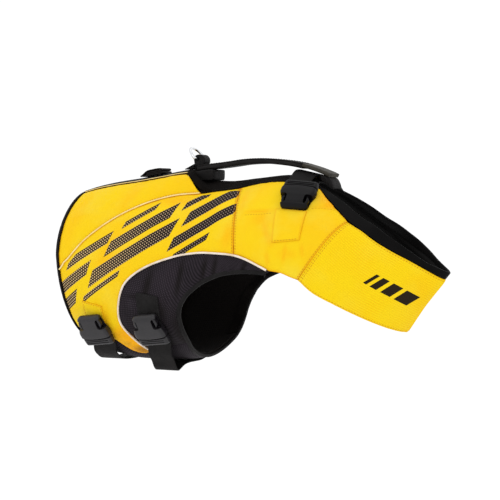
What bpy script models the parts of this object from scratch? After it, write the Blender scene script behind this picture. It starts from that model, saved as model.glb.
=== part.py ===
"""Dog life jacket, filled out as if worn.

Lengths in the tables are millimetres.  The head end is +X, the dog's right
side is -Y, up is +Z.  The origin lies on the wearer's spine under the saddle.

The trunk is a row of cross-sections (SECTIONS).  A place on it is given as
(x, turn): the station along the spine and the angle in degrees round the
section, 0 at the spine and 180 under the belly.  Every panel is a grid of
such places between two of its own edges, with an outer and an inner face.
"""
import math

import bmesh
import bpy
from mathutils import Vector
from mathutils.bvhtree import BVHTree

MM = 0.001
SEAM = 0.2              # each panel stops this far short of its seam line
RIGHT = -1
LEFT = 1

FOAM = 7.0              # wall of the yellow foam panels
BAND_WALL = 4.0         # wall of the chest band
NEOPRENE_WALL = 3.0     # wall of the black side panels
BELLY_WALL = 6.0        # wall of the belly pad
LINING = 1.2            # wall of the black lining
PUFF = 3.0              # how far a foam panel swells over its own edges
SINK = -1.2             # how far a panel edge lies under the section line

WEBBING_WIDTH = 38.0
WEBBING = 1.8

# x, back height, height of the widest place, belly height, half width,
# power of the upper curve, power of the lower curve
SECTIONS = [
    (-203, -29.0, -128, -250, 90, 1.66, 1.98),
    (-150, -21.5, -140, -264.5, 95.5, 1.65, 2.02),
    (-100, -18.5, -152, -272.5, 100, 1.65, 2.05),
    (-50, -16.0, -166, -272.5, 104, 1.70, 1.95),
    (0, -15.0, -182, -269.5, 107, 1.70, 1.85),
    (25, -15.0, -180, -268.5, 106, 1.72, 1.85),
    (50, -15.5, -166, -267.5, 100, 1.80, 1.95),
    (100, -10.5, -155, -262, 100, 1.90, 2.10),
    (142, -8.0, -145, -250, 97, 2.00, 2.10),
    (182, -16.0, -138, -236, 93, 2.00, 2.10),
    (213, -29.0, -130, -225, 91, 2.00, 2.10),
    (265, -66.0, -125, -215, 88, 2.00, 2.10),
]

# the rear edge leans: the stations behind this place shift forward toward
# the belly, by this length at the belly for a station a hundred behind it
REAR_LEAN_FROM = -100
REAR_LEAN = 15.0

# seam and edge lines as x, z on the flank
PIPING_LINE = [
    (-199, -142), (-188, -132), (-158, -104), (-131, -81), (-104, -63),
    (-77, -50), (-49, -40.5), (-20, -34.5), (14, -32),
]
SADDLE_LINE = [
    (14, -32), (43, -28.5), (76, -24.5), (105, -18.5), (142, -16), (162, -17),
    (184, -21),
]
NECK_SHOULDER_LINE = [
    (184, -21), (196, -26.5), (210, -37.5), (222, -47), (233, -56.5),
    (243, -64.6), (250, -71),
]
ARCH_FRONT_LINE = [
    (97, -118), (108, -120), (123, -126), (139, -133.5), (151, -139),
]
BAND_LOW_SHOULDER_LINE = [
    (151, -139), (168, -141.9), (182, -147.5), (192, -151.0),
]
ARCH_LINE = [
    (97, -118), (84, -117), (57, -116), (28, -117.5), (8, -120.5),
    (-18, -128), (-34, -134), (-49, -141), (-62, -149.5), (-72, -158),
    (-79, -168), (-84, -180), (-88, -193), (-91, -206), (-92, -216),
    (-88, -225), (-81, -233.5), (-74, -244), (-68, -251.5),
]
LEG_LINE = [
    (149, -142), (124, -139.8), (102, -140), (79, -143.3), (62, -149),
    (45, -157.5), (33.5, -167), (24.7, -176.5), (17.5, -189), (13.4, -202),
    (12.5, -212), (12.2, -223), (12, -232.5),
]
# belly side edges as x, distance from the middle
BELLY_EDGE = [
    (-199, 52), (-160, 58), (-124, 64), (-108, 57), (-94, 43), (-82, 38),
    (-73, 40), (-65, 46),
]
NEOPRENE_LOW_EDGE = [(-61, 53), (11, 71)]
BELLY_FRONT = 3.0

# how far the back foam rises over the sections along the spine: x, rise
BACK_RISE = [
    (-203, 0.2), (-180, 2.8), (-145, 4.8), (-102, 8.0), (-58, 11.9), (-30, 15.2),
    (-8, 16.6), (20, 16.8),
]
BACK_FRONT = 12.0       # the foam rounds down over this length at its front

# neck edge and lower edge of the chest band, from the seam to the front:
# share of the way, x, distance from the middle, z
NECK_FRONT = [
    (0.00, 250.0, 58.5, -71.0), (0.16, 270.0, 56.8, -83.2),
    (0.32, 290.0, 52.7, -98.2), (0.48, 310.5, 45.5, -111.6),
    (0.64, 331.6, 35.5, -124.0), (0.80, 351.5, 22.5, -137.3),
    (0.92, 365.0, 10.5, -147.0), (1.00, 369.8, 0.0, -150.6),
]
LOW_FRONT = [
    (0.00, 192.0, 90.7, -151.0), (0.16, 212.0, 86.0, -168.5),
    (0.32, 236.0, 77.0, -182.0), (0.48, 258.2, 65.0, -194.5),
    (0.64, 280.1, 50.0, -206.3), (0.80, 298.0, 32.5, -215.6),
    (0.92, 309.8, 15.0, -221.0), (1.00, 313.8, 0.0, -222.8),
]
BAND_SWELL = 7.0        # outward bow of the band between its two edges

# how far the collar stands up from the neck edge: x, rise
COLLAR_RISE = [
    (178, 3.0), (200, 8.0), (215, 12.5), (232, 16.8), (265, 19.0), (295, 16.4),
    (322, 12.6), (345, 9.4), (372, 11.6),
]


def glide(rows, key, column):
    """Value of a table column at key along a smooth curve through the rows."""
    last = len(rows) - 1
    key = min(max(key, rows[0][0]), rows[last][0])
    i = 0
    while i < last - 1 and key > rows[i + 1][0]:
        i += 1

    def slope(k):
        a = max(k - 1, 0)
        b = min(k + 1, last)
        return (rows[b][column] - rows[a][column]) / (rows[b][0] - rows[a][0])

    span = rows[i + 1][0] - rows[i][0]
    t = (key - rows[i][0]) / span
    start = (2 * t ** 3 - 3 * t ** 2 + 1) * rows[i][column]
    start += (t ** 3 - 2 * t ** 2 + t) * span * slope(i)
    end = (3 * t ** 2 - 2 * t ** 3) * rows[i + 1][column]
    end += (t ** 3 - t ** 2) * span * slope(i + 1)
    return start + end


def section(x):
    return [glide(SECTIONS, x, column) for column in range(1, 7)]


def trunk(x, turn, side, out=0.0):
    """Point of the trunk at station x and angle turn, moved out by out."""
    back, wide, belly, half, upper, lower = section(x)
    across = math.sin(math.radians(turn))
    up = math.cos(math.radians(turn))
    behind = max((REAR_LEAN_FROM - x) / 100, 0.0)
    x += REAR_LEAN * behind ** 2 * ((1 - up) / 2) ** 1.5
    if up >= 0:
        y = (half + out) * across ** (2 / upper)
        z = wide + (back + out - wide) * up ** (2 / upper)
    else:
        y = (half + out) * across ** (2 / lower)
        z = wide + (belly - out - wide) * (-up) ** (2 / lower)
    return Vector((x, side * y, z))


def turn_at_height(x, z):
    back, wide, belly, half, upper, lower = section(x)
    if z >= wide:
        share = min((z - wide) / (back - wide), 1.0)
        return math.degrees(math.acos(share ** (upper / 2)))
    share = min((wide - z) / (wide - belly), 1.0)
    return 180 - math.degrees(math.acos(share ** (lower / 2)))


def turn_at_width(x, y, under=False):
    back, wide, belly, half, upper, lower = section(x)
    power = lower if under else upper
    angle = math.degrees(math.asin(min(y / half, 1.0) ** (power / 2)))
    return 180 - angle if under else angle


def flank_line(rows):
    return [(x, turn_at_height(x, z)) for x, z in rows]


def belly_line(rows):
    return [(x, turn_at_width(x, y, under=True)) for x, y in rows]


def distance(a, b):
    return math.hypot(a[0] - b[0], (a[1] - b[1]) * 1.75)


def spaced(line, count):
    """count + 1 places evenly spaced along a line of (x, turn) places."""
    marks = [0.0]
    for a, b in zip(line, line[1:]):
        marks.append(marks[-1] + distance(a, b))
    result = []
    for step in range(count + 1):
        goal = marks[-1] * step / count
        i = 0
        while i < len(line) - 2 and goal > marks[i + 1]:
            i += 1
        t = (goal - marks[i]) / (marks[i + 1] - marks[i])
        a, b = line[i], line[i + 1]
        result.append((a[0] + (b[0] - a[0]) * t, a[1] + (b[1] - a[1]) * t))
    return result


def between(a, b, t):
    return tuple(p + (q - p) * t for p, q in zip(a, b))


def placed(line, shares):
    """Places at the given shares of a line's length."""
    fine = spaced(line, 200)
    result = []
    for share in shares:
        k = min(int(share * 200), 199)
        result.append(between(fine[k], fine[k + 1], share * 200 - k))
    return result


def drawn_in(line, gap):
    """The line with both ends drawn in along itself."""
    line = list(line)
    line[0] = between(line[0], line[1], gap / distance(line[0], line[1]))
    line[-1] = between(line[-1], line[-2], gap / distance(line[-1], line[-2]))
    return line


def grid(low, high, shares):
    """Rows of places from one edge line to the other, short of all seams."""
    rows = []
    for t in shares:
        row = []
        for a, b in zip(low, high):
            inset = SEAM / max(distance(a, b), 1.0)
            row.append(between(a, b, inset + (1 - 2 * inset) * t))
        rows.append(drawn_in(row, SEAM))
    return rows


# ---------------------------------------------------------------- materials

def material(name, color, roughness, metallic=0.0):
    made = bpy.data.materials.new(name)
    made.use_nodes = True
    shader = made.node_tree.nodes["Principled BSDF"]
    shader.inputs["Base Color"].default_value = (*color, 1.0)
    shader.inputs["Roughness"].default_value = roughness
    shader.inputs["Metallic"].default_value = metallic
    return made


def make_materials():
    return {
        "nylon": material("yellow_nylon", (0.93, 0.55, 0.012), 0.62),
        "band": material("yellow_band_cloth", (0.90, 0.50, 0.010), 0.66),
        "neoprene": material("black_neoprene", (0.021, 0.018, 0.022), 0.75),
        "lining": material("black_lining", (0.010, 0.009, 0.009), 0.80),
        "webbing": material("black_webbing", (0.014, 0.013, 0.014), 0.70),
        "plastic": material("black_plastic", (0.020, 0.020, 0.023), 0.38),
        "piping": material("pale_piping", (0.78, 0.74, 0.62), 0.45),
        "grip": material("olive_grip", (0.085, 0.075, 0.055), 0.60),
        "metal": material("chrome_steel", (0.72, 0.73, 0.75), 0.14, 1.0),
    }


# ---------------------------------------------------------------- builders

def closed_mesh(name, points, faces, look, collection, origin=(0, 0, 0)):
    mesh = bpy.data.meshes.new(name)
    base = Vector(origin)
    mesh.from_pydata([(Vector(p) - base) * MM for p in points], [], faces)
    shape = bmesh.new()
    shape.from_mesh(mesh)
    bmesh.ops.recalc_face_normals(shape, faces=shape.faces)
    shape.to_mesh(mesh)
    shape.free()
    mesh.materials.append(look)
    made = bpy.data.objects.new(name, mesh)
    made.location = base * MM
    collection.objects.link(made)
    return made


def wall(name, outer, inner, look, collection):
    """Closed sheet between two equal grids of points."""
    rows, columns = len(outer), len(outer[0])
    points = [p for row in outer for p in row]
    points += [p for row in inner for p in row]
    half = rows * columns
    faces = []
    for r in range(rows - 1):
        for c in range(columns - 1):
            a = r * columns + c
            for near in ((a, a + 1, a + columns + 1), (a, a + columns + 1, a + columns)):
                faces.append(near)
                faces.append(tuple(half + k for k in reversed(near)))
    rim = [c for c in range(columns)]
    rim += [r * columns + columns - 1 for r in range(1, rows)]
    rim += [(rows - 1) * columns + c for c in range(columns - 2, -1, -1)]
    rim += [r * columns for r in range(rows - 2, 0, -1)]
    for a, b in zip(rim, rim[1:] + rim[:1]):
        if points[a].x < points[b].x:
            faces += [(b, a, half + b), (a, half + a, half + b)]
        else:
            faces += [(b, a, half + a), (b, half + a, half + b)]
    return closed_mesh(name, points, faces, look, collection)


def swept(name, path, outline, look, collection, aims, loop=False, origin=(0, 0, 0)):
    """Outline (across, out) carried along a path; aims are the out directions."""
    count = len(path)
    size = len(outline)
    points = []
    for i in range(count):
        if loop:
            ahead = path[(i + 1) % count] - path[i - 1]
        else:
            ahead = path[min(i + 1, count - 1)] - path[max(i - 1, 0)]
        ahead.normalize()
        across = ahead.cross(aims[i]).normalized()
        out = across.cross(ahead).normalized()
        for a, o in outline:
            points.append(path[i] + across * a + out * o)
    faces = []
    for i in range(count if loop else count - 1):
        j = (i + 1) % count
        for k in range(size):
            m = (k + 1) % size
            faces.append((i * size + k, i * size + m, j * size + m, j * size + k))
    if not loop:
        faces.append(tuple(reversed(range(size))))
        faces.append(tuple((count - 1) * size + k for k in range(size)))
    return closed_mesh(name, points, faces, look, collection, origin)


def round_outline(radius, sides, lift=0.0):
    steps = [2 * math.pi * k / sides for k in range(sides)]
    return [(radius * math.cos(s), lift + radius * math.sin(s)) for s in steps]


def strap(name, path, look, collection, width=WEBBING_WIDTH, slant=0.0):
    """Webbing across X, slant down toward the head; path is its inner face."""
    outer, inner = [], []
    thick = WEBBING
    for i, place in enumerate(path):
        ahead = path[min(i + 1, len(path) - 1)] - path[max(i - 1, 0)]
        out = Vector((1, 0, 0)).cross(ahead).normalized()
        half = Vector((width / 2, 0, slant * width / 2))
        inner.append([place - half, place + half])
        outer.append([place - half + out * thick, place + half + out * thick])
    return wall(name, outer, inner, look, collection)


# ---------------------------------------------------------------- trunk panels

PIPING_SHARES = (0, 0.04, 0.15, 0.27, 0.39, 0.51, 0.63, 0.75, 0.86, 0.94, 0.985, 1)
SHARES = (0.0, 0.10, 0.35, 0.65, 0.90, 1.0)
SWELL = (0.0, 0.62, 1.0, 1.0, 0.62, 0.0)


def trunk_panel(name, places, side, thick, puff, look, collection):
    """Foam or cloth panel over a grid of trunk places, fuller in its middle."""
    outer, inner = [], []
    last = len(places[0]) - 1
    for row, swell in zip(places, SWELL):
        ends = [0.0 if c in (0, last) else 1.0 for c in range(last + 1)]
        outer.append([trunk(x, turn, side, SINK + puff * swell * e)
                      for (x, turn), e in zip(row, ends)])
        inner.append([trunk(x, turn, side, SINK - thick) for x, turn in row])
    return wall(name, outer, inner, look, collection)


def trunk_lining(name, places, side, under, look, collection):
    """Lining cut like the panel it lies in, just inside it."""
    top = SINK - under - 0.3
    outer = [[trunk(x, turn, side, top) for x, turn in row] for row in places]
    inner = [[trunk(x, turn, side, top - LINING) for x, turn in row] for row in places]
    return wall(name, outer, inner, look, collection)


def piping_places():
    return placed(flank_line(PIPING_LINE), PIPING_SHARES)


def saddle_side_places():
    """Saddle seam along the side panel, from the back foam to the shoulder seam."""
    return spaced(flank_line([row for row in SADDLE_LINE if row[0] <= 76]), 3)


def saddle_shoulder_places():
    return spaced(flank_line([row for row in SADDLE_LINE if row[0] >= 76]), 4)


def neck_places():
    return spaced(flank_line(NECK_SHOULDER_LINE), 3)


def arch_places():
    return spaced(flank_line(ARCH_LINE) + neoprene_low_places()[:1], 26)


def leg_places():
    return spaced(flank_line(LEG_LINE) + neoprene_low_places()[-1:], 30)


def arch_front_places():
    return spaced(flank_line(ARCH_FRONT_LINE), 4)


def belly_places():
    return spaced(belly_line(BELLY_EDGE), 7)


def neoprene_low_places():
    return spaced(belly_line(NEOPRENE_LOW_EDGE), 3)


def side_places():
    outer = list(reversed(saddle_side_places()))
    outer += list(reversed(piping_places()))[1:]
    belly = belly_places()
    outer += spaced([outer[-1], belly[0]], 5)[1:]
    outer += belly[1:]
    return grid(arch_places(), outer, SHARES)


def shoulder_places():
    low = arch_front_places()
    low += spaced(flank_line(BAND_LOW_SHOULDER_LINE), 3)[1:]
    high = saddle_shoulder_places() + neck_places()[1:]
    return led_to_seam(grid(low, high, SHARES), low[-1], high[-1], SHARES)


def led_to_seam(places, low_end, high_end, shares):
    """The grid with its front columns led to the straight seam of the band."""
    last = len(places[0]) - 1
    for row, share in zip(places, shares):
        x, turn = seam_place(1 - share)
        x_plain, turn_plain = between(low_end, high_end, share)
        for c in range(last + 1):
            hold = max(1 - 1.75 * (last - c) / last, 0.0)
            row[c] = (row[c][0] + (x - x_plain) * hold, row[c][1] + (turn - turn_plain) * hold)
    return places


def neoprene_places():
    upper = list(reversed(arch_front_places())) + arch_places()[1:]
    return grid(upper, leg_places(), SHARES)


def back_places(shares):
    """Grid of the back panel from the spine strip to the piping."""
    spine = [(x, turn_at_width(x, 15.5)) for x in (-199, -150, -100, -50, -15)]
    return grid(placed(spine, PIPING_SHARES), piping_places(), shares)


def back_rise(x, t):
    """Height of the back foam at station x, t from the spine to the piping."""
    return glide(BACK_RISE, x, 1) * (1 - t ** 1.6)


def make_back_panel(side, look, collection):
    places = back_places(SHARES)
    outer, inner = [], []
    for row, t, swell in zip(places, SHARES, SWELL):
        line = []
        for (x, turn), share in zip(row, PIPING_SHARES):
            front = min((1 - share) * 200 / BACK_FRONT, 1.0)
            rear = min(share * 200 / BACK_FRONT, 1.0)
            full = math.sqrt(1 - (1 - front) ** 2) * math.sqrt(1 - (1 - rear) ** 2)
            rise = SINK + (back_rise(x, t) + 1.5 * swell) * full
            line.append(trunk(x, turn, side, rise))
        outer.append(line)
        inner.append([trunk(x, turn, side, SINK - FOAM) for x, turn in row])
    name = "back_panel_right" if side == RIGHT else "back_panel_left"
    return wall(name, outer, inner, look, collection)


def make_back_lining(look, collection):
    places = back_places(SHARES)
    rows = [(RIGHT, row) for row in reversed(places)]
    rows.append((RIGHT, [(x, 0.0) for x, _ in places[0]]))
    rows += [(LEFT, row) for row in places]
    top = SINK - FOAM - 0.3
    outer = [[trunk(x, turn, side, top) for x, turn in row] for side, row in rows]
    inner = [[trunk(x, turn, side, top - LINING) for x, turn in row] for side, row in rows]
    return wall("lining_back", outer, inner, look, collection)


STRIP_PLACES = (-199, -194, -175, -150, -125, -100, -75, -50, -30, -22, -17, -15.2)
STRIP_HIGH = 2.2
# folded webbing on the spine strip: x, height
KEEPER_HEIGHT = [
    (-101, 1.6), (-96, 5.0), (-88, 7.6), (-78, 8.8), (-70, 9.2), (-65, 9.0),
    (-63, 5.0),
]


def make_spine_strip(look, collection):
    """Black webbing down the spine between the two back panels."""
    outer, inner = [], []
    for across in (-14.6, 0.0, 14.6):
        side = RIGHT if across < 0 else LEFT
        top, low = [], []
        for x in STRIP_PLACES:
            rise = glide(BACK_RISE, x, 1)
            rise *= math.sqrt(1 - (1 - min((-15.2 - x) / BACK_FRONT, 1.0)) ** 2)
            turn = turn_at_width(x, abs(across))
            top.append(trunk(x, turn, side, SINK + rise + STRIP_HIGH))
            low.append(trunk(x, turn, side, SINK + rise - 1.0))
        outer.append(top)
        inner.append(low)
    return wall("spine_strip", outer, inner, look, collection)


def make_saddle(look, collection):
    """Black patch under the handle, from the back foam to the neck."""
    edge = saddle_side_places() + saddle_shoulder_places()[1:]
    edge[0] = (edge[0][0] + 0.6, edge[0][1])
    middle = [-14.6, 8, 38, 70, 98, 126, 153, 178]
    outer, inner = [], []
    for share in (-1, -0.75, -0.45, 0, 0.45, 0.75, 1):
        side = RIGHT if share < 0 else LEFT
        top, low = [], []
        for (x_edge, turn_edge), x_middle in zip(edge, middle):
            reach = max((abs(share) - 0.45) / 0.55, 0.0)
            x = x_middle + (x_edge - x_middle) * reach
            turn = abs(share) * (turn_edge - SEAM / 1.75)
            lift = -1.0 if abs(share) == 1 else 0.2
            top.append(trunk(x, turn, side, lift))
            low.append(trunk(x, turn, side, -5.0))
        outer.append(top)
        inner.append(low)
    return wall("saddle_patch", outer, inner, look, collection)


def belly_front(share):
    """Station of the belly pad's front edge, share from the middle to the side."""
    return BELLY_FRONT + (NEOPRENE_LOW_EDGE[-1][0] - BELLY_FRONT) * share * share


def make_belly_pad(look, collection):
    edge = belly_places() + neoprene_low_places()
    middle = [-199 + (199 + BELLY_FRONT) * k / 11 for k in range(12)]
    outer, inner = [], []
    swell = {1: 0.0, 0.92: 0.7, 0.6: 1.0, 0.3: 0.9, 0: 0.85}
    for share in (-1, -0.92, -0.6, -0.3, 0, 0.3, 0.6, 0.92, 1):
        side = RIGHT if share < 0 else LEFT
        top, low = [], []
        for k, ((x_edge, turn_edge), x_middle) in enumerate(zip(edge, middle)):
            x = x_middle + (x_edge - x_middle) * share * share
            reach = (180 - turn_edge - SEAM * 2 / 1.75) * abs(share)
            puff = 2.5 * swell[abs(share)] * (0 if k in (0, 11) else 1)
            top.append(trunk(x, 180 - reach, side, SINK + puff))
            low.append(trunk(x, 180 - reach, side, SINK - BELLY_WALL))
        outer.append(top)
        inner.append(low)
    return wall("belly_pad", outer, inner, look, collection)


# ---------------------------------------------------------------- chest band

def band_line(rows, share, side):
    return Vector([glide(rows, share, 1), side * glide(rows, share, 2), glide(rows, share, 3)])


def band_flat(s, v):
    """Ruled sheet of the band: s from -1 (right seam) over 0 (front) to 1."""
    s = max(min(s, 1.0), -1.0)
    side = RIGHT if s < 0 else LEFT
    share = min(1 - abs(s), 0.999)
    top = band_line(NECK_FRONT, share, side)
    low = band_line(LOW_FRONT, share, side)
    beyond = band_line(NECK_FRONT, share + 0.001, side)
    run = beyond + band_line(LOW_FRONT, share + 0.001, side) - top - low
    ahead = Vector((-side * run.y, side * run.x, 0)).normalized()
    bow = BAND_SWELL * 4 * v * (1 - v) * min(share * 3, 1.0)
    return top.lerp(low, v) + ahead * bow * (1 - share * 1.45)


def seam_place(v):
    """Seam of the band and the shoulder panel, v from the neck to the lower edge."""
    x, z = between((250, -71.0), (192, -151.0), v)
    return x, turn_at_height(x, z)


def band(s, v):
    """Outer face of the band, run into the shoulder panel at its two ends."""
    side = RIGHT if s < 0 else LEFT
    share = 1 - abs(s)
    point = band_flat(s, v)
    hold = max(1 - share / 0.5, 0.0) ** 2
    x, turn = seam_place(v)
    return point + (trunk(x, turn, side, SINK) - band_flat(float(side), v)) * hold


def band_out(s, v):
    """Outward direction of the band, that of the trunk at the two seams."""
    side = RIGHT if s < 0 else LEFT
    step = 0.01
    along = band(min(s + step, 1.0), v) - band(max(s - step, -1.0), v)
    down = band(s, min(v + step, 1.0)) - band(s, max(v - step, 0.0))
    out = down.cross(along).normalized()
    x, turn = seam_place(v)
    plain = (trunk(x, turn, side, 1.0) - trunk(x, turn, side, 0.0))
    out = out if out.dot(plain) > 0 or abs(s) < 0.5 else -out
    out = out if out.x > -0.2 else -out
    hold = max((abs(s) - 0.8) / 0.2, 0.0)
    return out.lerp(plain, hold)


BAND_STEPS = [0, 0.012, 0.05, 0.11, 0.18, 0.26, 0.34, 0.42, 0.50, 0.58, 0.66, 0.74,
              0.82, 0.88, 0.93, 0.97]


def band_stations():
    near = [-1 + share for share in BAND_STEPS]
    return near + [0.0] + [-s for s in reversed(near)]


def band_sheets(high, low, puff):
    outer, inner = [], []
    stations = band_stations()
    for v, swell in zip(SHARES, SWELL):
        v = 0.004 + v * 0.992
        top, under = [], []
        for k, s in enumerate(stations):
            ends = 0 if k in (0, len(stations) - 1) else min(1, (1 - abs(s)) / 0.05)
            s = s * (1 - SEAM / 170)
            out = band_out(s, v)
            top.append(band(s, v) + out * (high + puff * swell * ends))
            under.append(band(s, v) + out * low)
        outer.append(top)
        inner.append(under)
    return outer, inner


def make_chest_band(look, collection):
    outer, inner = band_sheets(0.0, -BAND_WALL, 1.0)
    return wall("chest_band", outer, inner, look, collection)


def make_band_lining(look, collection):
    outer, inner = band_sheets(-BAND_WALL - 0.3, -BAND_WALL - 0.3 - LINING, 0.0)
    return wall("lining_chest", outer, inner, look, collection)


# ---------------------------------------------------------------- edges

def neck_ring():
    """Right half of the neck edge from the back to the front: point, out."""
    result = []
    for x, y in [(180.0, 0), (181.5, 12)]:
        turn = turn_at_width(x, y)
        result.append((trunk(x, turn, RIGHT, SINK), Vector((0, 0, 1))))
    for x, turn in neck_places():
        out = trunk(x, turn, RIGHT, 1.0) - trunk(x, turn, RIGHT, 0.0)
        result.append((trunk(x, turn, RIGHT, SINK), out))
    for s in (-0.9, -0.75, -0.6, -0.45, -0.33, -0.22, -0.13, -0.06, 0.0):
        result.append((band(s, 0.0), band_out(s, 0.0)))
    return result


def make_collar(look, collection):
    """Soft stand-up edge round the neck opening."""
    right = neck_ring()
    points = [p for p, _ in right]
    outs = [o for _, o in right]
    points += [Vector((p.x, -p.y, p.z)) for p, _ in reversed(right[1:-1])]
    outs += [Vector((o.x, -o.y, o.z)) for _, o in reversed(right[1:-1])]
    count = len(points)
    rings = []
    for i in range(count):
        ahead = (points[(i + 1) % count] - points[i - 1]).normalized()
        out = outs[i].normalized()
        beyond = ahead.cross(out).normalized()
        if beyond.dot(Vector((0.6, 0, 1))) < 0:
            beyond = -beyond
        rise = glide(COLLAR_RISE, points[i].x, 1)
        out = beyond.cross(ahead).normalized()
        out = out if out.dot(outs[i]) > 0 else -out
        rings.append([
            points[i] + beyond * 0.6 + out * -0.3,
            points[i] + beyond * (rise - 1.5) + out * -0.8,
            points[i] + beyond * rise + out * -2.3,
            points[i] + beyond * (rise - 1.5) + out * -3.8,
            points[i] + beyond * 0.6 + out * -3.6,
        ])
    return ring_mesh("collar", rings, look, collection)


def ring_mesh(name, rings, look, collection):
    """Closed loop of equal outlines."""
    size = len(rings[0])
    count = len(rings)
    points = [p for ring in rings for p in ring]
    faces = []
    for i in range(count):
        j = (i + 1) % count
        for k in range(size):
            m = (k + 1) % size
            faces.append((i * size + k, i * size + m, j * size + m, j * size + k))
    return closed_mesh(name, points, faces, look, collection)


def make_rear_binding(look, collection):
    """Black tape round the rear edge."""
    outline = [(-199.6, 0.4), (-202.6, 0.2), (-204.6, -2.5), (-204.6, -7.2),
               (-202.6, -9.7), (-199.6, -9.7)]
    rings = []
    count = 40
    for i in range(count):
        angle = 360 * i / count
        side = LEFT if angle <= 180 else RIGHT
        turn = angle if angle <= 180 else 360 - angle
        rings.append([trunk(x, turn, side, out) for x, out in outline])
    return ring_mesh("rear_binding", rings, look, collection)


def edge_tube(name, places, side, radius, out, look, collection, sides=6):
    """Round piping laid on the trunk along a line of places."""
    path = [trunk(x, turn, side, out) for x, turn in places]
    aims = [trunk(x, turn, side, out + 1) - p for (x, turn), p in zip(places, path)]
    return swept(name, path, round_outline(radius, sides), look, collection, aims)


def make_arch_piping(side, look, collection):
    line = list(reversed(arch_front_places())) + arch_places()[1:]
    name = "arch_piping_right" if side == RIGHT else "arch_piping_left"
    return edge_tube(name, drawn_in(line, 3), side, 1.5, SINK + 1.9, look, collection)


def make_back_piping(side, look, collection):
    line = [(x, turn + 0.8) for x, turn in piping_places()]
    name = "back_piping_right" if side == RIGHT else "back_piping_left"
    return edge_tube(name, drawn_in(line, 1.5), side, 1.1, SINK + 1.9, look, collection)


def make_leg_binding(look, collection):
    """Binding along the whole edge of the leg opening, over the belly front."""
    right = drawn_in(leg_places(), 4)
    reach = 180 - neoprene_low_places()[-1][1]
    belly = [(belly_front(share), 180 - reach * share) for share in (0.8, 0.5, 0.25)]
    half = [(RIGHT, p) for p in right + belly]
    mirrored = [(LEFT, p) for _, p in reversed(half)]
    line = half + [(RIGHT, (belly_front(0), 180))] + mirrored
    path, aims = [], []
    for side, (x, turn) in line:
        path.append(trunk(x, turn, side, SINK - 1.5))
        aims.append(trunk(x, turn, side, 1.0) - trunk(x, turn, side, 0.0))
    shifted = []
    for i, place in enumerate(path):
        ahead = (path[min(i + 1, len(path) - 1)] - path[max(i - 1, 0)]).normalized()
        beyond = aims[i].cross(ahead).normalized()
        if beyond.dot(Vector((0.55, 0, -0.8))) < 0 and place.x > 15:
            beyond = -beyond
        if beyond.x < 0 and place.x <= 15:
            beyond = -beyond
        shifted.append(place + beyond * 2.0)
    return swept("leg_binding", shifted, round_outline(1.5, 6), look, collection, aims)


def make_leg_trim(side, places, look, collection):
    """Folded tape on the inside of the side panel along the leg opening."""
    top = SINK - NEOPRENE_WALL - 0.8
    outer, inner = [], []
    columns = list(zip(places[0], places[-1]))[4:-1]
    for reach in (14.0, 7.0, 0.0):
        line = []
        for inside, edge in columns:
            share = min(reach / distance(edge, inside), 0.6)
            line.append(between(edge, inside, share))
        outer.append([trunk(x, turn, side, top) for x, turn in line])
        inner.append([trunk(x, turn, side, top - 1.3) for x, turn in line])
    name = "leg_trim_right" if side == RIGHT else "leg_trim_left"
    return wall(name, outer, inner, look, collection)


# ---------------------------------------------------------------- buckles, straps

# along the buckle from its upper end: place, half width, height
BUCKLE_ROWS = [
    (0.0, 17.5, 5.0), (1.5, 19.0, 8.5), (4.5, 19.5, 10.5), (5.5, 15.0, 10.5),
    (8.0, 17.5, 10.0), (16.5, 18.0, 10.0), (19.0, 15.5, 11.0), (20.5, 21.0, 11.5),
    (27.0, 25.0, 11.4), (34.0, 25.0, 10.9), (35.2, 23.0, 7.5), (36.6, 24.4, 9.3),
    (46.5, 23.5, 8.8), (49.0, 21.5, 5.5),
]


def buckle_frame(x, turn, lean, side, under):
    """Middle of a buckle's underside on the pieces under it, and its directions."""
    middle = trunk(x, turn, side)
    down = trunk(x, turn + 1, side) - trunk(x, turn - 1, side)
    along = Vector((1, 0, 0))
    if turn < 90:
        along = (trunk(x + 6, turn, side) - trunk(x - 6, turn, side)).normalized()
    down = (down.normalized() + along * lean).normalized()
    up = along.cross(down).normalized()
    up = up if up.dot(trunk(x, turn, side, 1.0) - middle) > 0 else -up
    across = down.cross(up).normalized()
    reach = BUCKLE_ROWS[-1][0] / 2
    lift = 0.0
    for piece in under:
        for corner in piece.data.vertices:
            offset = corner.co / MM - middle
            if abs(offset.dot(across)) < 30 and abs(offset.dot(down)) < reach + 4:
                lift = max(lift, offset.dot(up))
    return middle + up * (lift + 0.3), across, down, up


def make_buckle(name, frame, flip, look, collection):
    middle, across, down, up = frame
    length = BUCKLE_ROWS[-1][0]
    points, faces = [], []
    rows = BUCKLE_ROWS
    if flip:
        rows = [(length - s, half, high) for s, half, high in reversed(rows)]
    for s, half, high in rows:
        base = middle + down * (s - length / 2)
        outline = [
            (-half, 1.2), (-half + 1.5, 0), (half - 1.5, 0), (half, 1.2),
            (half, high - 3.0), (half - 3.5, high - 0.4), (0, high),
            (-half + 3.5, high - 0.4), (-half, high - 3.0),
        ]
        points += [base + across * a + up * o for a, o in outline]
    size = 9
    for i in range(len(rows) - 1):
        for k in range(size):
            m = (k + 1) % size
            faces.append((i * size + k, i * size + m, (i + 1) * size + m, (i + 1) * size + k))
    faces.append(tuple(range(size)))
    faces.append(tuple((len(rows) - 1) * size + k for k in range(size)))
    return closed_mesh(name, points, faces, look, collection)


PATCH_CELLS = 7
PATCH_GAP = 0.8

# shoulder strap over the saddle, half of it from the middle: y, z of its inner face
SHOULDER_STRAP = [(0, -3.2), (10, -3.8), (17, -6.2), (24, -10.6), (31, -15.2), (37, -19.5)]
SHOULDER_STRAP_X = 166.5
SHOULDER_STRAP_WIDTH = 32.0
SHOULDER_STRAP_SLANT = -0.22

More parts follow.
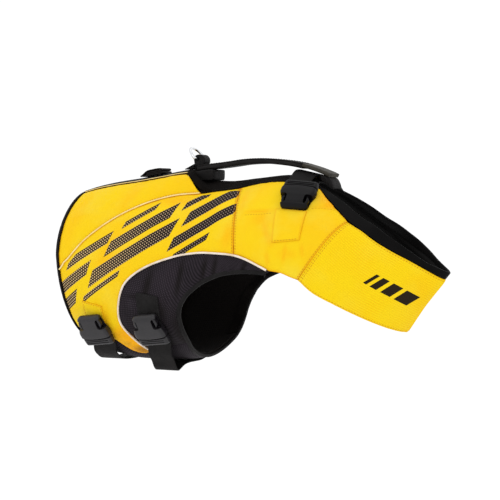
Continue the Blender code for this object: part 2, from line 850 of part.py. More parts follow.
# belly straps between their two buckles, from the right: y, z of the inner
# face; the right side hangs in a slack fold, the left side lies close
REAR_STRAP = [(-57.5, -260.6), (-49, -267.8), (-41, -272.0), (-31, -273.9), (-18, -274.6),
              (0, -274.5), (18, -273.0), (34, -269.6), (48, -263.4)]
FRONT_STRAP = [(-67, -262), (-59, -271.5), (-53, -281), (-47, -285.5), (-40, -283.4),
               (-28, -278.4), (-14, -276.4), (0, -276.0), (18, -275.4), (34, -272.2),
               (48, -266.8), (60, -260.0)]
REAR_STRAP_BACK = 3.0   # the slack folds swing this far toward the rear
FRONT_STRAP_BACK = 4.0
# belly buckles: x, turn, how far above the middle its tab starts, in degrees,
# lean of the lower end toward the head
REAR_BUCKLE = (-136.0, 129.5, 17.0, 0.12)
FRONT_BUCKLE = (-35.0, 120.5, 25.5, 0.12)
# shoulder buckles: x, turn, lean of the lower end toward the head; the left
# one is pulled further back
SHOULDER_BUCKLE = {RIGHT: (177.0, 36.8, 0.05), LEFT: (166.0, 37.4, 0.12)}
# yellow cover below each shoulder buckle
COVER = [(152, 52), (197, 51.3), (194.5, 71), (155, 72)]


def make_shoulder_strap(look, collection):
    left = [Vector((SHOULDER_STRAP_X, y, z)) for y, z in reversed(SHOULDER_STRAP)]
    right = [Vector((SHOULDER_STRAP_X, -y, z)) for y, z in SHOULDER_STRAP[1:]]
    return strap("shoulder_strap", left + right, look, collection, SHOULDER_STRAP_WIDTH,
                 SHOULDER_STRAP_SLANT)


def make_patch(name, corners, side, thick, panel, look, collection):
    """Piece sewn on over a panel; corners are its four (x, turn) places."""
    surface = BVHTree.FromPolygons([v.co / MM for v in panel.data.vertices],
                                   [tuple(f.vertices) for f in panel.data.polygons])
    outer, inner = [], []
    for a in range(PATCH_CELLS + 1):
        top, under = [], []
        for k in range(PATCH_CELLS + 1):
            first = between(corners[0], corners[1], a / PATCH_CELLS)
            last = between(corners[3], corners[2], a / PATCH_CELLS)
            x, turn = between(first, last, k / PATCH_CELLS)
            high = trunk(x, turn, side, 12.0)
            fall = (trunk(x, turn, side, 0.0) - high).normalized()
            spot = surface.ray_cast(high, fall)[0]
            under.append(spot - fall * PATCH_GAP)
            top.append(spot - fall * (PATCH_GAP + thick))
        outer.append(top)
        inner.append(under)
    return wall(name, outer, inner, look, collection)


def make_fastening(name, tab_name, look, place, side, panel, looks, collection):
    """Tab on a flank with a closed buckle at its lower end."""
    x, turn, rise, lean = place
    half = WEBBING_WIDTH / 2
    high, low = turn - rise, turn + 4
    corners = [(x - half, high), (x + half, high), (x + half, low), (x - half, low)]
    tab = make_patch(tab_name, corners, side, 2.0, panel, look, collection)
    frame = buckle_frame(x, turn, lean, side, [tab, panel])
    make_buckle("belly_buckle_" + name, frame, False, looks["plastic"], collection)
    return frame


def strap_end(frame):
    """Two places of a strap's inner face where it leaves a buckle's lower end."""
    middle, across, down, up = frame
    reach = BUCKLE_ROWS[-1][0] / 2
    seat = -0.3 - WEBBING
    return [middle + down * (reach - 4) + up * seat, middle + down * (reach + 2) + up * seat]


def make_belly_strap(name, rows, back, frames, look, collection):
    """Strap from under the right buckle round the belly to the left buckle."""
    right, left = [strap_end(frame) for frame in frames]
    middle = [Vector((right[0].x - back, y, z)) for y, z in rows]
    return strap(name, right + middle + left[::-1], look, collection)


# ---------------------------------------------------------------- handle, ring

# the grab handle's and its front tab's upper faces: x, z
HANDLE_TOP = [
    (-6, 6.5), (5, 8.4), (29, 10.6), (49, 12.8), (67, 15.0), (88, 16.0), (109, 15.6),
    (136, 12.9), (151.5, 10.5), (163, 8.1),
]
TAB_TOP = [(163.6, 7.9), (182, 2.4), (197, -3.0), (205, -6.6)]
HANDLE_WIDTH = 30.0
HANDLE_THICK = 7.6


def make_handle(look, collection):
    path = [Vector((x, 0, z)) for x, z in HANDLE_TOP]
    half = HANDLE_WIDTH / 2
    outline = [(-half, -1.6), (-half + 2, 0), (half - 2, 0), (half, -1.6),
               (half, -5.6), (half - 2, -HANDLE_THICK), (-half + 2, -HANDLE_THICK),
               (-half, -5.6)]
    aims = [Vector((0, 0, 1))] * len(path)
    return swept("handle", path, outline, look, collection, aims)


def make_handle_tab(look, collection):
    path = [Vector((x, 0, z)) for x, z in TAB_TOP]
    outline = [(-16, -2), (-13, 0), (13, 0), (16, -2), (16, -4), (13, -5.5),
               (-13, -5.5), (-16, -4)]
    aims = [Vector((0, 0, 1))] * len(path)
    return swept("handle_front_tab", path, outline, look, collection, aims)


def box_from_rows(name, rows, half, look, collection):
    """Solid of constant width across Y with an x, z outline."""
    points = [Vector((x, -half, z)) for x, z in rows]
    points += [Vector((x, half, z)) for x, z in rows]
    count = len(rows)
    faces = [tuple(range(count)), tuple(reversed(range(count, 2 * count)))]
    for i in range(count):
        j = (i + 1) % count
        faces.append((i, j, count + j, count + i))
    return closed_mesh(name, points, faces, look, collection)


HANDLE_FOOT = [(190, -7.0), (198, -10.2), (204, -13.2), (208, -20), (210, -28), (206, -27.4),
               (199, -22), (189.5, -15.4)]
RING_TAIL = [(-30, 1.2), (-22, 1.9), (-14.8, 2.2), (-14.4, 9.5), (-16, 8.6), (-19, 6.2),
             (-24, 3.8), (-30, 2.6)]
ANCHOR = [(-12.5, -3.0), (-6.5, -1.9), (5, 0.1), (22, 1.6), (22.5, -4), (22, -14.0),
          (16, -14.4), (-2, -14.4), (-11, -8)]
RING_POST = [(-13.6, 6.6), (-6.0, 6.85), (1.8, 8.45), (3.6, 12.0), (3.4, 17.0), (0.0, 21.4),
             (-5, 23.0), (-10.5, 22.4), (-14.0, 19.6), (-14.8, 15.5), (-13.9, 11.5)]

RING_WIRE = 2.2
RING_AXIS = (-9.0, 0.0, 17.0)


def make_leash_ring(look, collection):
    """D-ring: a straight bar on the axis and a bow; it swings on the bar."""
    lean = math.radians(50)
    reach = Vector((-math.cos(lean), 0, math.sin(lean)))
    centre = Vector(RING_AXIS)
    path = []
    for k in range(19):
        angle = math.pi * k / 18
        across = 15.5 * math.cos(angle)
        high = 20.0 * math.sin(angle) ** 0.8
        path.append(centre + Vector((0, across, 0)) + reach * high)
    for across in (-11.0, -4.0, 4.0, 11.0):
        path.append(centre + Vector((0, across, 0)))
    aims = [reach.cross(Vector((0, 1, 0)))] * len(path)
    outline = round_outline(RING_WIRE, 8)
    return swept("leash_ring", path, outline, look, collection, aims, True, RING_AXIS)


def make_ring_post(look, collection):
    """Folded webbing on the handle anchor, with an eye for the ring's bar."""
    count = len(RING_POST)
    middle = Vector(RING_AXIS)
    points = []
    for y in (-8.5, 8.5):
        points += [Vector((x, y, z)) for x, z in RING_POST]
        for x, z in RING_POST:
            reach = (Vector((x, 0, z)) - middle).normalized() * (RING_WIRE + 0.5)
            points.append(middle + reach + Vector((0, y, 0)))
    faces = []
    for i in range(count):
        j = (i + 1) % count
        faces.append((i, j, count + j, count + i))
        faces.append((2 * count + j, 2 * count + i, 3 * count + i, 3 * count + j))
        faces.append((j, i, 2 * count + i, 2 * count + j))
        faces.append((count + i, count + j, 3 * count + j, 3 * count + i))
    return closed_mesh("ring_post", points, faces, look, collection)


def make_keeper(look, collection):
    """Folded stack of webbing sewn on the spine strip."""
    outer, inner = [], []
    for across in (-14.0, 0.0, 14.0):
        side = RIGHT if across < 0 else LEFT
        top, low = [], []
        for x, high in KEEPER_HEIGHT:
            seat = SINK + glide(BACK_RISE, x, 1) + STRIP_HIGH + 0.35
            turn = turn_at_width(x, abs(across))
            top.append(trunk(x, turn, side, seat + high))
            low.append(trunk(x, turn, side, seat))
        outer.append(top)
        inner.append(low)
    return wall("spine_keeper", outer, inner, look, collection)


# ---------------------------------------------------------------- assembly

def clear_scene():
    for made in list(bpy.data.objects):
        bpy.data.objects.remove(made, do_unlink=True)
    for group in list(bpy.data.collections):
        bpy.data.collections.remove(group)


def main():
    clear_scene()
    jacket = bpy.data.collections.new("dog_life_jacket")
    bpy.context.scene.collection.children.link(jacket)
    looks = make_materials()
    flank = side_places()
    shoulder = shoulder_places()
    neoprene = neoprene_places()
    rear_frames, front_frames = [], []
    for side, tag in ((RIGHT, "right"), (LEFT, "left")):
        make_back_panel(side, looks["nylon"], jacket)
        side_panel = trunk_panel("side_panel_" + tag, flank, side, FOAM, PUFF,
                                 looks["nylon"], jacket)
        trunk_lining("lining_side_" + tag, flank, side, FOAM, looks["lining"], jacket)
        front_panel = trunk_panel("shoulder_panel_" + tag, shoulder, side, FOAM, PUFF,
                                  looks["nylon"], jacket)
        trunk_lining("lining_shoulder_" + tag, shoulder, side, FOAM, looks["lining"], jacket)
        low_panel = trunk_panel("neoprene_panel_" + tag, neoprene, side, NEOPRENE_WALL, 0.6,
                                looks["neoprene"], jacket)
        make_arch_piping(side, looks["piping"], jacket)
        make_back_piping(side, looks["piping"], jacket)
        make_leg_trim(side, neoprene, looks["lining"], jacket)
        make_patch("strap_cover_front_" + tag, COVER, side, 1.2, front_panel, looks["nylon"], jacket)
        frame = buckle_frame(*SHOULDER_BUCKLE[side], side, [front_panel])
        make_buckle("shoulder_buckle_" + tag, frame, True, looks["plastic"], jacket)
        rear_frames.append(make_fastening("rear_" + tag, "strap_cover_rear_" + tag,
                                          looks["nylon"], REAR_BUCKLE, side, side_panel,
                                          looks, jacket))
        front_frames.append(make_fastening("front_" + tag, "strap_tab_" + tag,
                                           looks["webbing"], FRONT_BUCKLE, side, low_panel,
                                           looks, jacket))
    make_back_lining(looks["lining"], jacket)
    make_spine_strip(looks["webbing"], jacket)
    make_saddle(looks["webbing"], jacket)
    make_belly_pad(looks["neoprene"], jacket)
    make_chest_band(looks["band"], jacket)
    make_band_lining(looks["lining"], jacket)
    make_collar(looks["neoprene"], jacket)
    make_rear_binding(looks["webbing"], jacket)
    make_leg_binding(looks["webbing"], jacket)
    make_belly_strap("belly_strap_rear", REAR_STRAP, REAR_STRAP_BACK, rear_frames,
                     looks["webbing"], jacket)
    make_belly_strap("belly_strap_front", FRONT_STRAP, FRONT_STRAP_BACK, front_frames,
                     looks["webbing"], jacket)
    make_shoulder_strap(looks["webbing"], jacket)
    make_handle(looks["webbing"], jacket)
    make_handle_tab(looks["grip"], jacket)
    box_from_rows("handle_foot", HANDLE_FOOT, 14, looks["webbing"], jacket)
    box_from_rows("handle_anchor", ANCHOR, 18, looks["webbing"], jacket)
    box_from_rows("ring_tail", RING_TAIL, 8.5, looks["webbing"], jacket)
    make_ring_post(looks["webbing"], jacket)
    make_leash_ring(looks["metal"], jacket)
    make_keeper(looks["webbing"], jacket)


main()
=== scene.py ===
"""Looks of the dog life jacket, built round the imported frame.

Lengths in the tables are millimetres, as in the part's source: the head end
is +X, the dog's right side is -Y, up is +Z, the origin is on the spine under
the saddle.  The trunk tables and formulas repeat those of the solids, and the
pieces here are the same forms in finer grids, with their seams, folds,
stitches, bindings and cloth finishes.
"""
import math

import bmesh
import bpy
import numpy as np
from mathutils import Matrix, Vector, noise
from mathutils.bvhtree import BVHTree


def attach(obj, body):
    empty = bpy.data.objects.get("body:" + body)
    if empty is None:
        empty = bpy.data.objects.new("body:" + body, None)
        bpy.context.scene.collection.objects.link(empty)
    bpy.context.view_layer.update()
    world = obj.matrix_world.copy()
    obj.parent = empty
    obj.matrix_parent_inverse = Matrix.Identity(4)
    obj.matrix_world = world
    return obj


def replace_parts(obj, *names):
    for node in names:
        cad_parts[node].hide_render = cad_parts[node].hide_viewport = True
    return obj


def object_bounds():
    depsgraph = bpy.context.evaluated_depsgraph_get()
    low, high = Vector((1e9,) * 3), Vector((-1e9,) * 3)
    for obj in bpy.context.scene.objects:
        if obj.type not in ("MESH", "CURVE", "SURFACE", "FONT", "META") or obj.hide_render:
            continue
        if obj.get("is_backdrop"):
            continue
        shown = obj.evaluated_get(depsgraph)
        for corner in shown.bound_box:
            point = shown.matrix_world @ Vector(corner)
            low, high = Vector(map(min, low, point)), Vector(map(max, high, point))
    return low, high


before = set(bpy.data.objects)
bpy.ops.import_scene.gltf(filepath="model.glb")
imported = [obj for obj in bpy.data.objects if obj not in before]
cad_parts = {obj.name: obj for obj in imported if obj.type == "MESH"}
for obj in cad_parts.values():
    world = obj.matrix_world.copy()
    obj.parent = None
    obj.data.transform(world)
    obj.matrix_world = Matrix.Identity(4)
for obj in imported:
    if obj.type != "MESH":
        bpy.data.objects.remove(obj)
CAD_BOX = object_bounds()

MM = 0.001
SEAM = 0.2              # each panel stops this far short of its seam line
FINE = 3                # grid steps of the fine cloth for each step of the solids
PER_DEGREE = 1.75       # about this long is a degree of turn round the trunk
RIGHT = -1
LEFT = 1

FOAM = 7.0              # wall of the yellow foam panels
BAND_WALL = 4.0         # wall of the chest band
NEOPRENE_WALL = 3.0     # wall of the black side panels
BELLY_WALL = 6.0        # wall of the belly pad
WEBBING = 1.8           # thickness of the straps' webbing
WEBBING_WIDTH = 38.0    # width of the belly straps
PUFF = 3.0              # how far a foam panel swells over its own edges
SINK = -1.2             # how far a panel edge lies under the section line

# x, back height, height of the widest place, belly height, half width,
# power of the upper curve, power of the lower curve
SECTIONS = [
    (-203, -29.0, -128, -250, 90, 1.66, 1.98),
    (-150, -21.5, -140, -264.5, 95.5, 1.65, 2.02),
    (-100, -18.5, -152, -272.5, 100, 1.65, 2.05),
    (-50, -16.0, -166, -272.5, 104, 1.70, 1.95),
    (0, -15.0, -182, -269.5, 107, 1.70, 1.85),
    (25, -15.0, -180, -268.5, 106, 1.72, 1.85),
    (50, -15.5, -166, -267.5, 100, 1.80, 1.95),
    (100, -10.5, -155, -262, 100, 1.90, 2.10),
    (142, -8.0, -145, -250, 97, 2.00, 2.10),
    (182, -16.0, -138, -236, 93, 2.00, 2.10),
    (213, -29.0, -130, -225, 91, 2.00, 2.10),
    (265, -66.0, -125, -215, 88, 2.00, 2.10),
]

# the rear edge leans: the stations behind this place shift forward toward
# the belly, by this length at the belly for a station a hundred behind it
REAR_LEAN_FROM = -100
REAR_LEAN = 15.0

# seam and edge lines as x, z on the flank
PIPING_LINE = [
    (-199, -142), (-188, -132), (-158, -104), (-131, -81), (-104, -63),
    (-77, -50), (-49, -40.5), (-20, -34.5), (14, -32),
]
SADDLE_LINE = [
    (14, -32), (43, -28.5), (76, -24.5), (105, -18.5), (142, -16), (162, -17),
    (184, -21),
]
NECK_SHOULDER_LINE = [
    (184, -21), (196, -26.5), (210, -37.5), (222, -47), (233, -56.5),
    (243, -64.6), (250, -71),
]
ARCH_FRONT_LINE = [
    (97, -118), (108, -120), (123, -126), (139, -133.5), (151, -139),
]
BAND_LOW_SHOULDER_LINE = [
    (151, -139), (168, -141.9), (182, -147.5), (192, -151.0),
]
ARCH_LINE = [
    (97, -118), (84, -117), (57, -116), (28, -117.5), (8, -120.5),
    (-18, -128), (-34, -134), (-49, -141), (-62, -149.5), (-72, -158),
    (-79, -168), (-84, -180), (-88, -193), (-91, -206), (-92, -216),
    (-88, -225), (-81, -233.5), (-74, -244), (-68, -251.5),
]
LEG_LINE = [
    (149, -142), (124, -139.8), (102, -140), (79, -143.3), (62, -149),
    (45, -157.5), (33.5, -167), (24.7, -176.5), (17.5, -189), (13.4, -202),
    (12.5, -212), (12.2, -223), (12, -232.5),
]
# belly side edges as x, distance from the middle
BELLY_EDGE = [
    (-199, 52), (-160, 58), (-124, 64), (-108, 57), (-94, 43), (-82, 38),
    (-73, 40), (-65, 46),
]
NEOPRENE_LOW_EDGE = [(-61, 53), (11, 71)]
BELLY_FRONT = 3.0

# how far the back foam rises over the sections along the spine: x, rise
BACK_RISE = [
    (-203, 0.2), (-180, 2.8), (-145, 4.8), (-102, 8.0), (-58, 11.9), (-30, 15.2),
    (-8, 16.6), (20, 16.8),
]
ROUND_REAR = 12.0       # the foam rounds down over this length at its rear,
ROUND_FRONT = 5.0       # and over this at its front, where it is stuffed full
REAR = -199             # station where the cloth ends at the rear
SPINE_ENDS = -15.2      # front end of the spine webbing
SPINE_HALF = 14.6       # half its width
BACK_EDGE = 15.5        # distance of the back panels' upper edges from the middle

# neck edge and lower edge of the chest band, from the seam to the front:
# share of the way, x, distance from the middle, z
NECK_FRONT = [
    (0.00, 250.0, 58.5, -71.0), (0.16, 270.0, 56.8, -83.2),
    (0.32, 290.0, 52.7, -98.2), (0.48, 310.5, 45.5, -111.6),
    (0.64, 331.6, 35.5, -124.0), (0.80, 351.5, 22.5, -137.3),
    (0.92, 365.0, 10.5, -147.0), (1.00, 369.8, 0.0, -150.6),
]
LOW_FRONT = [
    (0.00, 192.0, 90.7, -151.0), (0.16, 212.0, 86.0, -168.5),
    (0.32, 236.0, 77.0, -182.0), (0.48, 258.2, 65.0, -194.5),
    (0.64, 280.1, 50.0, -206.3), (0.80, 298.0, 32.5, -215.6),
    (0.92, 309.8, 15.0, -221.0), (1.00, 313.8, 0.0, -222.8),
]
BAND_SWELL = 7.0        # outward bow of the band between its two edges

# how far the collar stands up from the neck edge: x, rise
COLLAR_RISE = [
    (178, 3.0), (200, 8.0), (215, 12.5), (232, 16.8), (265, 19.0), (295, 16.4),
    (322, 12.6), (345, 9.4), (372, 11.6),
]

# shoulder strap over the saddle, half of it from the middle: y, z of its inner face
SHOULDER_STRAP = [(0, -3.2), (10, -3.8), (17, -6.2), (24, -10.6), (31, -15.2), (37, -19.5)]
SHOULDER_STRAP_X = 166.5
SHOULDER_STRAP_WIDTH = 32.0
SHOULDER_STRAP_SLANT = -0.22

# belly straps between their two buckles, from the right: y, z of the inner
# face; the right side hangs in a slack fold, the left side lies close
REAR_STRAP = [(-57.5, -260.6), (-49, -267.8), (-41, -272.0), (-31, -273.9), (-18, -274.6),
              (0, -274.5), (18, -273.0), (34, -269.6), (48, -263.4)]
FRONT_STRAP = [(-67, -262), (-59, -271.5), (-53, -281), (-47, -285.5), (-40, -283.4),
               (-28, -278.4), (-14, -276.4), (0, -276.0), (18, -275.4), (34, -272.2),
               (48, -266.8), (60, -260.0)]
REAR_STRAP_BACK = 3.0   # the slack folds swing this far toward the rear
FRONT_STRAP_BACK = 4.0
# belly buckles: x, turn, how far above the middle its tab starts, in degrees,
# lean of the lower end toward the head
REAR_BUCKLE = (-136.0, 129.5, 17.0, 0.12)
FRONT_BUCKLE = (-35.0, 120.5, 25.5, 0.12)
# shoulder buckles: x, turn, lean of the lower end toward the head; the left
# one is pulled further back
SHOULDER_BUCKLE = {RIGHT: (177.0, 36.8, 0.05), LEFT: (166.0, 37.4, 0.12)}
# yellow cover below each shoulder buckle
COVER = [(152, 52), (197, 51.3), (194.5, 71), (155, 72)]

# the grab handle's and its front tab's upper faces: x, z
HANDLE_TOP = [
    (-6, 6.5), (5, 8.4), (29, 10.6), (49, 12.8), (67, 15.0), (88, 16.0), (109, 15.6),
    (136, 12.9), (151.5, 10.5), (163, 8.1),
]
TAB_TOP = [(163.6, 7.9), (182, 2.4), (197, -3.0), (205, -6.6)]
HANDLE_WIDTH = 30.0
HANDLE_THICK = 7.6

# outlines of the handle's foot, the ring's tail, the anchor and the ring's eye: x, z
HANDLE_FOOT = [(190, -7.0), (198, -10.2), (204, -13.2), (208, -20), (210, -28), (206, -27.4),
               (199, -22), (189.5, -15.4)]
RING_TAIL = [(-30, 1.2), (-22, 1.9), (-14.8, 2.2), (-14.4, 9.5), (-16, 8.6), (-19, 6.2),
             (-24, 3.8), (-30, 2.6)]
ANCHOR = [(-12.5, -3.0), (-6.5, -1.9), (5, 0.1), (22, 1.6), (22.5, -4), (22, -14.0),
          (16, -14.4), (-2, -14.4), (-11, -8)]
RING_POST = [(-13.6, 6.6), (-6.0, 6.85), (1.8, 8.45), (3.6, 12.0), (3.4, 17.0), (0.0, 21.4),
             (-5, 23.0), (-10.5, 22.4), (-14.0, 19.6), (-14.8, 15.5), (-13.9, 11.5)]
# section of the ring's webbing eye: y, share of the way from the bar's bore out
POST_PROFILE = [
    (-7.9, 0.0), (0.0, 0.0), (7.9, 0.0), (8.4, 0.08), (8.5, 0.2), (8.5, 0.8), (8.4, 0.93),
    (7.9, 1.0), (4, 1.0), (0, 1.0), (-4, 1.0), (-7.9, 1.0), (-8.4, 0.93), (-8.5, 0.8),
    (-8.5, 0.2), (-8.4, 0.08),
]

RING_WIRE = 2.2         # radius of the leash ring's wire
RING_ROOM = 0.5         # room round its bar in the webbing eye
RING_AXIS = (-9.0, 0.0, 17.0)
RING_LEAN = 50.0        # rise of the ring toward the tail, in degrees
RING_BOW = (15.5, 20.0)     # half width and reach of its bow

STRIP_HIGH = 2.2
# lower lengths of the folded keeper, to and fro: start, end, height; then its
# uppermost length, which ends behind the folds: x, height over the spine webbing
KEEPER_FOLDS = [(-97.0, -65.0, 0.95), (-65.0, -90.5, 3.0), (-90.5, -65.6, 5.2)]
KEEPER_TOP = [
    (-65.6, 6.5), (-68, 7.6), (-74, 8.1), (-82, 8.0), (-88, 7.7), (-91.5, 6.8), (-94, 5.3),
    (-96.5, 3.6), (-99, 2.1), (-101.5, 1.2),
]


# ---------------------------------------------------------------- trunk form

def glide(rows, key, column):
    """Value of a table column at key along a smooth curve through the rows."""
    last = len(rows) - 1
    key = min(max(key, rows[0][0]), rows[last][0])
    i = 0
    while i < last - 1 and key > rows[i + 1][0]:
        i += 1

    def slope(k):
        a = max(k - 1, 0)
        b = min(k + 1, last)
        return (rows[b][column] - rows[a][column]) / (rows[b][0] - rows[a][0])

    span = rows[i + 1][0] - rows[i][0]
    t = (key - rows[i][0]) / span
    start = (2 * t ** 3 - 3 * t ** 2 + 1) * rows[i][column]
    start += (t ** 3 - 2 * t ** 2 + t) * span * slope(i)
    end = (3 * t ** 2 - 2 * t ** 3) * rows[i + 1][column]
    end += (t ** 3 - t ** 2) * span * slope(i + 1)
    return start + end


def section(x):
    """The trunk's section numbers at station x, in the order of SECTIONS."""
    return [glide(SECTIONS, x, column) for column in range(1, 7)]


def trunk(x, turn, side, out=0.0):
    """Point of the trunk at station x and angle turn, moved out by out."""
    back, wide, belly, half, upper, lower = section(x)
    across = math.sin(math.radians(turn))
    up = math.cos(math.radians(turn))
    behind = max((REAR_LEAN_FROM - x) / 100, 0.0)
    x += REAR_LEAN * behind ** 2 * ((1 - up) / 2) ** 1.5
    if up >= 0:
        y = (half + out) * across ** (2 / upper)
        z = wide + (back + out - wide) * up ** (2 / upper)
    else:
        y = (half + out) * across ** (2 / lower)
        z = wide + (belly - out - wide) * (-up) ** (2 / lower)
    return Vector((x, side * y, z))


def turn_at_height(x, z):
    back, wide, belly, _, upper, lower = section(x)
    if z >= wide:
        share = min((z - wide) / (back - wide), 1.0)
        return math.degrees(math.acos(share ** (upper / 2)))
    share = min((wide - z) / (wide - belly), 1.0)
    return 180 - math.degrees(math.acos(share ** (lower / 2)))


def turn_at_width(x, y, under=False):
    _, _, _, half, upper, lower = section(x)
    power = lower if under else upper
    angle = math.degrees(math.asin(min(y / half, 1.0) ** (power / 2)))
    return 180 - angle if under else angle


def flank_line(rows):
    return [(x, turn_at_height(x, z)) for x, z in rows]


def belly_line(rows):
    return [(x, turn_at_width(x, y, under=True)) for x, y in rows]


def distance(a, b):
    """Rough length in mm between two (x, turn) places."""
    return math.hypot(a[0] - b[0], (a[1] - b[1]) * PER_DEGREE)


def spaced(line, count):
    """count + 1 places evenly spaced along a line of (x, turn) places."""
    marks = [0.0]
    for a, b in zip(line, line[1:]):
        marks.append(marks[-1] + distance(a, b))
    result = []
    for step in range(count + 1):
        goal = marks[-1] * step / count
        i = 0
        while i < len(line) - 2 and goal > marks[i + 1]:
            i += 1
        t = (goal - marks[i]) / (marks[i + 1] - marks[i])
        a, b = line[i], line[i + 1]
        result.append((a[0] + (b[0] - a[0]) * t, a[1] + (b[1] - a[1]) * t))
    return result


def between(a, b, t):
    """Place at share t of the way from a to b."""
    return tuple(p + (q - p) * t for p, q in zip(a, b))


def drawn_in(line, gap):
    """The line with both ends drawn in along itself."""
    line = list(line)
    line[0] = between(line[0], line[1], gap / distance(line[0], line[1]))
    line[-1] = between(line[-1], line[-2], gap / distance(line[-1], line[-2]))
    return line


def grid(low, high, shares):
    """Rows of places from one edge line to the other, short of all seams."""
    rows = []
    for t in shares:
        row = []
        for a, b in zip(low, high):
            inset = SEAM / max(distance(a, b), 1.0)
            row.append(between(a, b, inset + (1 - 2 * inset) * t))
        rows.append(drawn_in(row, SEAM))
    return rows


def smooth(line, cuts=6):
    """The line with a smooth curve's places between its own places."""
    rows = [(k, *place) for k, place in enumerate(line)]
    count = (len(line) - 1) * cuts
    return [(glide(rows, k / cuts, 1), glide(rows, k / cuts, 2)) for k in range(count + 1)]


def edge(line, count):
    return spaced(smooth(line), count)


def even(count):
    return [k / count for k in range(count + 1)]


# places of the seams and edges, from the lines above
NEOPRENE_LOW = spaced(belly_line(NEOPRENE_LOW_EDGE), 3 * FINE)
SADDLE_SIDE = edge(flank_line([row for row in SADDLE_LINE if row[0] <= 76]), 3 * FINE)
SADDLE_SHOULDER = edge(flank_line([row for row in SADDLE_LINE if row[0] >= 76]), 8 * FINE)
NECK = edge(flank_line(NECK_SHOULDER_LINE), 6 * FINE)
PIPING = flank_line(PIPING_LINE)
ARCH_FRONT = flank_line(ARCH_FRONT_LINE)
ARCH = edge(flank_line(ARCH_LINE) + NEOPRENE_LOW[:1], 26 * FINE)
LEG = edge(flank_line(LEG_LINE) + NEOPRENE_LOW[-1:], 30 * FINE)
BELLY_SIDE = edge(belly_line(BELLY_EDGE), 7 * FINE)


def side_places():
    outer = SADDLE_SIDE[::-1] + edge(PIPING, 11 * FINE)[::-1][1:]
    outer += spaced([outer[-1], BELLY_SIDE[0]], 5 * FINE)[1:] + BELLY_SIDE[1:]
    return grid(ARCH, outer, even(44))


def shoulder_places():
    low = edge(ARCH_FRONT, 8 * FINE) + edge(flank_line(BAND_LOW_SHOULDER_LINE), 6 * FINE)[1:]
    high = SADDLE_SHOULDER + NECK[1:]
    return led_to_seam(grid(low, high, even(48)), low[-1], high[-1], even(48))


def arch_run():
    """The arch seam from its front end to the belly."""
    return edge(ARCH_FRONT, 4 * FINE)[::-1] + ARCH[1:]


def led_to_seam(places, low_end, high_end, shares):
    """The grid with its front columns led to the straight seam of the band."""
    last = len(places[0]) - 1
    for row, share in zip(places, shares):
        x, turn = seam_place(1 - share)
        x_plain, turn_plain = between(low_end, high_end, share)
        for c in range(last + 1):
            hold = max(1 - 1.75 * (last - c) / last, 0.0)
            row[c] = (row[c][0] + (x - x_plain) * hold, row[c][1] + (turn - turn_plain) * hold)
    return places


def neoprene_places():
    return grid(arch_run(), LEG, even(22))


def back_places():
    """Grid of the back panel from the spine strip to the piping."""
    spine = [(x, turn_at_width(x, BACK_EDGE)) for x in (REAR, -150, -100, -50, -15)]
    return grid(spaced(spine, 66), edge(PIPING, 66), even(22))


def belly_front(share):
    """Station of the belly pad's front edge, share from the middle to the side."""
    return BELLY_FRONT + (NEOPRENE_LOW_EDGE[-1][0] - BELLY_FRONT) * share * share


# ---------------------------------------------------------------- chest band form

def band_line(rows, share, side):
    return Vector([glide(rows, share, 1), side * glide(rows, share, 2), glide(rows, share, 3)])


def band_flat(s, v):
    """Ruled sheet of the band: s from -1 (right seam) over 0 (front) to 1."""
    s = max(min(s, 1.0), -1.0)
    side = RIGHT if s < 0 else LEFT
    share = min(1 - abs(s), 0.999)
    top = band_line(NECK_FRONT, share, side)
    low = band_line(LOW_FRONT, share, side)
    beyond = band_line(NECK_FRONT, share + 0.001, side)
    run = beyond + band_line(LOW_FRONT, share + 0.001, side) - top - low
    ahead = Vector((-side * run.y, side * run.x, 0)).normalized()
    bow = BAND_SWELL * 4 * v * (1 - v) * min(share * 3, 1.0)
    return top.lerp(low, v) + ahead * bow * (1 - share * 1.45)


def seam_place(v):
    """Seam of the band and the shoulder panel, v from the neck to the lower edge."""
    x, z = between((250, -71.0), (192, -151.0), v)
    return x, turn_at_height(x, z)


def band(s, v):
    """Outer face of the band, run into the shoulder panel at its two ends."""
    side = RIGHT if s < 0 else LEFT
    share = 1 - abs(s)
    point = band_flat(s, v)
    hold = max(1 - share / 0.5, 0.0) ** 2
    x, turn = seam_place(v)
    return point + (trunk(x, turn, side, SINK) - band_flat(float(side), v)) * hold


def band_out(s, v):
    """Outward direction of the band, that of the trunk at the two seams."""
    side = RIGHT if s < 0 else LEFT
    step = 0.01
    along = band(min(s + step, 1.0), v) - band(max(s - step, -1.0), v)
    down = band(s, min(v + step, 1.0)) - band(s, max(v - step, 0.0))
    out = down.cross(along).normalized()
    x, turn = seam_place(v)
    plain = (trunk(x, turn, side, 1.0) - trunk(x, turn, side, 0.0))
    out = out if out.dot(plain) > 0 or abs(s) < 0.5 else -out
    out = out if out.x > -0.2 else -out
    hold = max((abs(s) - 0.8) / 0.2, 0.0)
    return out.lerp(plain, hold)


# ---------------------------------------------------------------- cloth meshes

def on_trunk(places, sides, out=0.0):
    """Points of rows of (x, turn) places; sides is one side, or one for each row."""
    if sides in (RIGHT, LEFT):
        sides = [sides] * len(places)
    return np.array([[trunk(x, turn, side, out) for x, turn in row]
                     for row, side in zip(places, sides)])


def trunk_out(x, turn, side):
    """Outward direction of the trunk, one unit of its section long."""
    return trunk(x, turn, side, 1.0) - trunk(x, turn, side, 0.0)


def skin(places, sides, out=SINK):
    """Points on the trunk for a grid of places, and the normals there."""
    points = on_trunk(places, sides, out)
    return points, normals(points, on_trunk(places, sides, out + 1) - points)


def unit(vectors):
    length = np.linalg.norm(vectors, axis=-1, keepdims=True)
    return vectors / np.maximum(length, 1e-9)


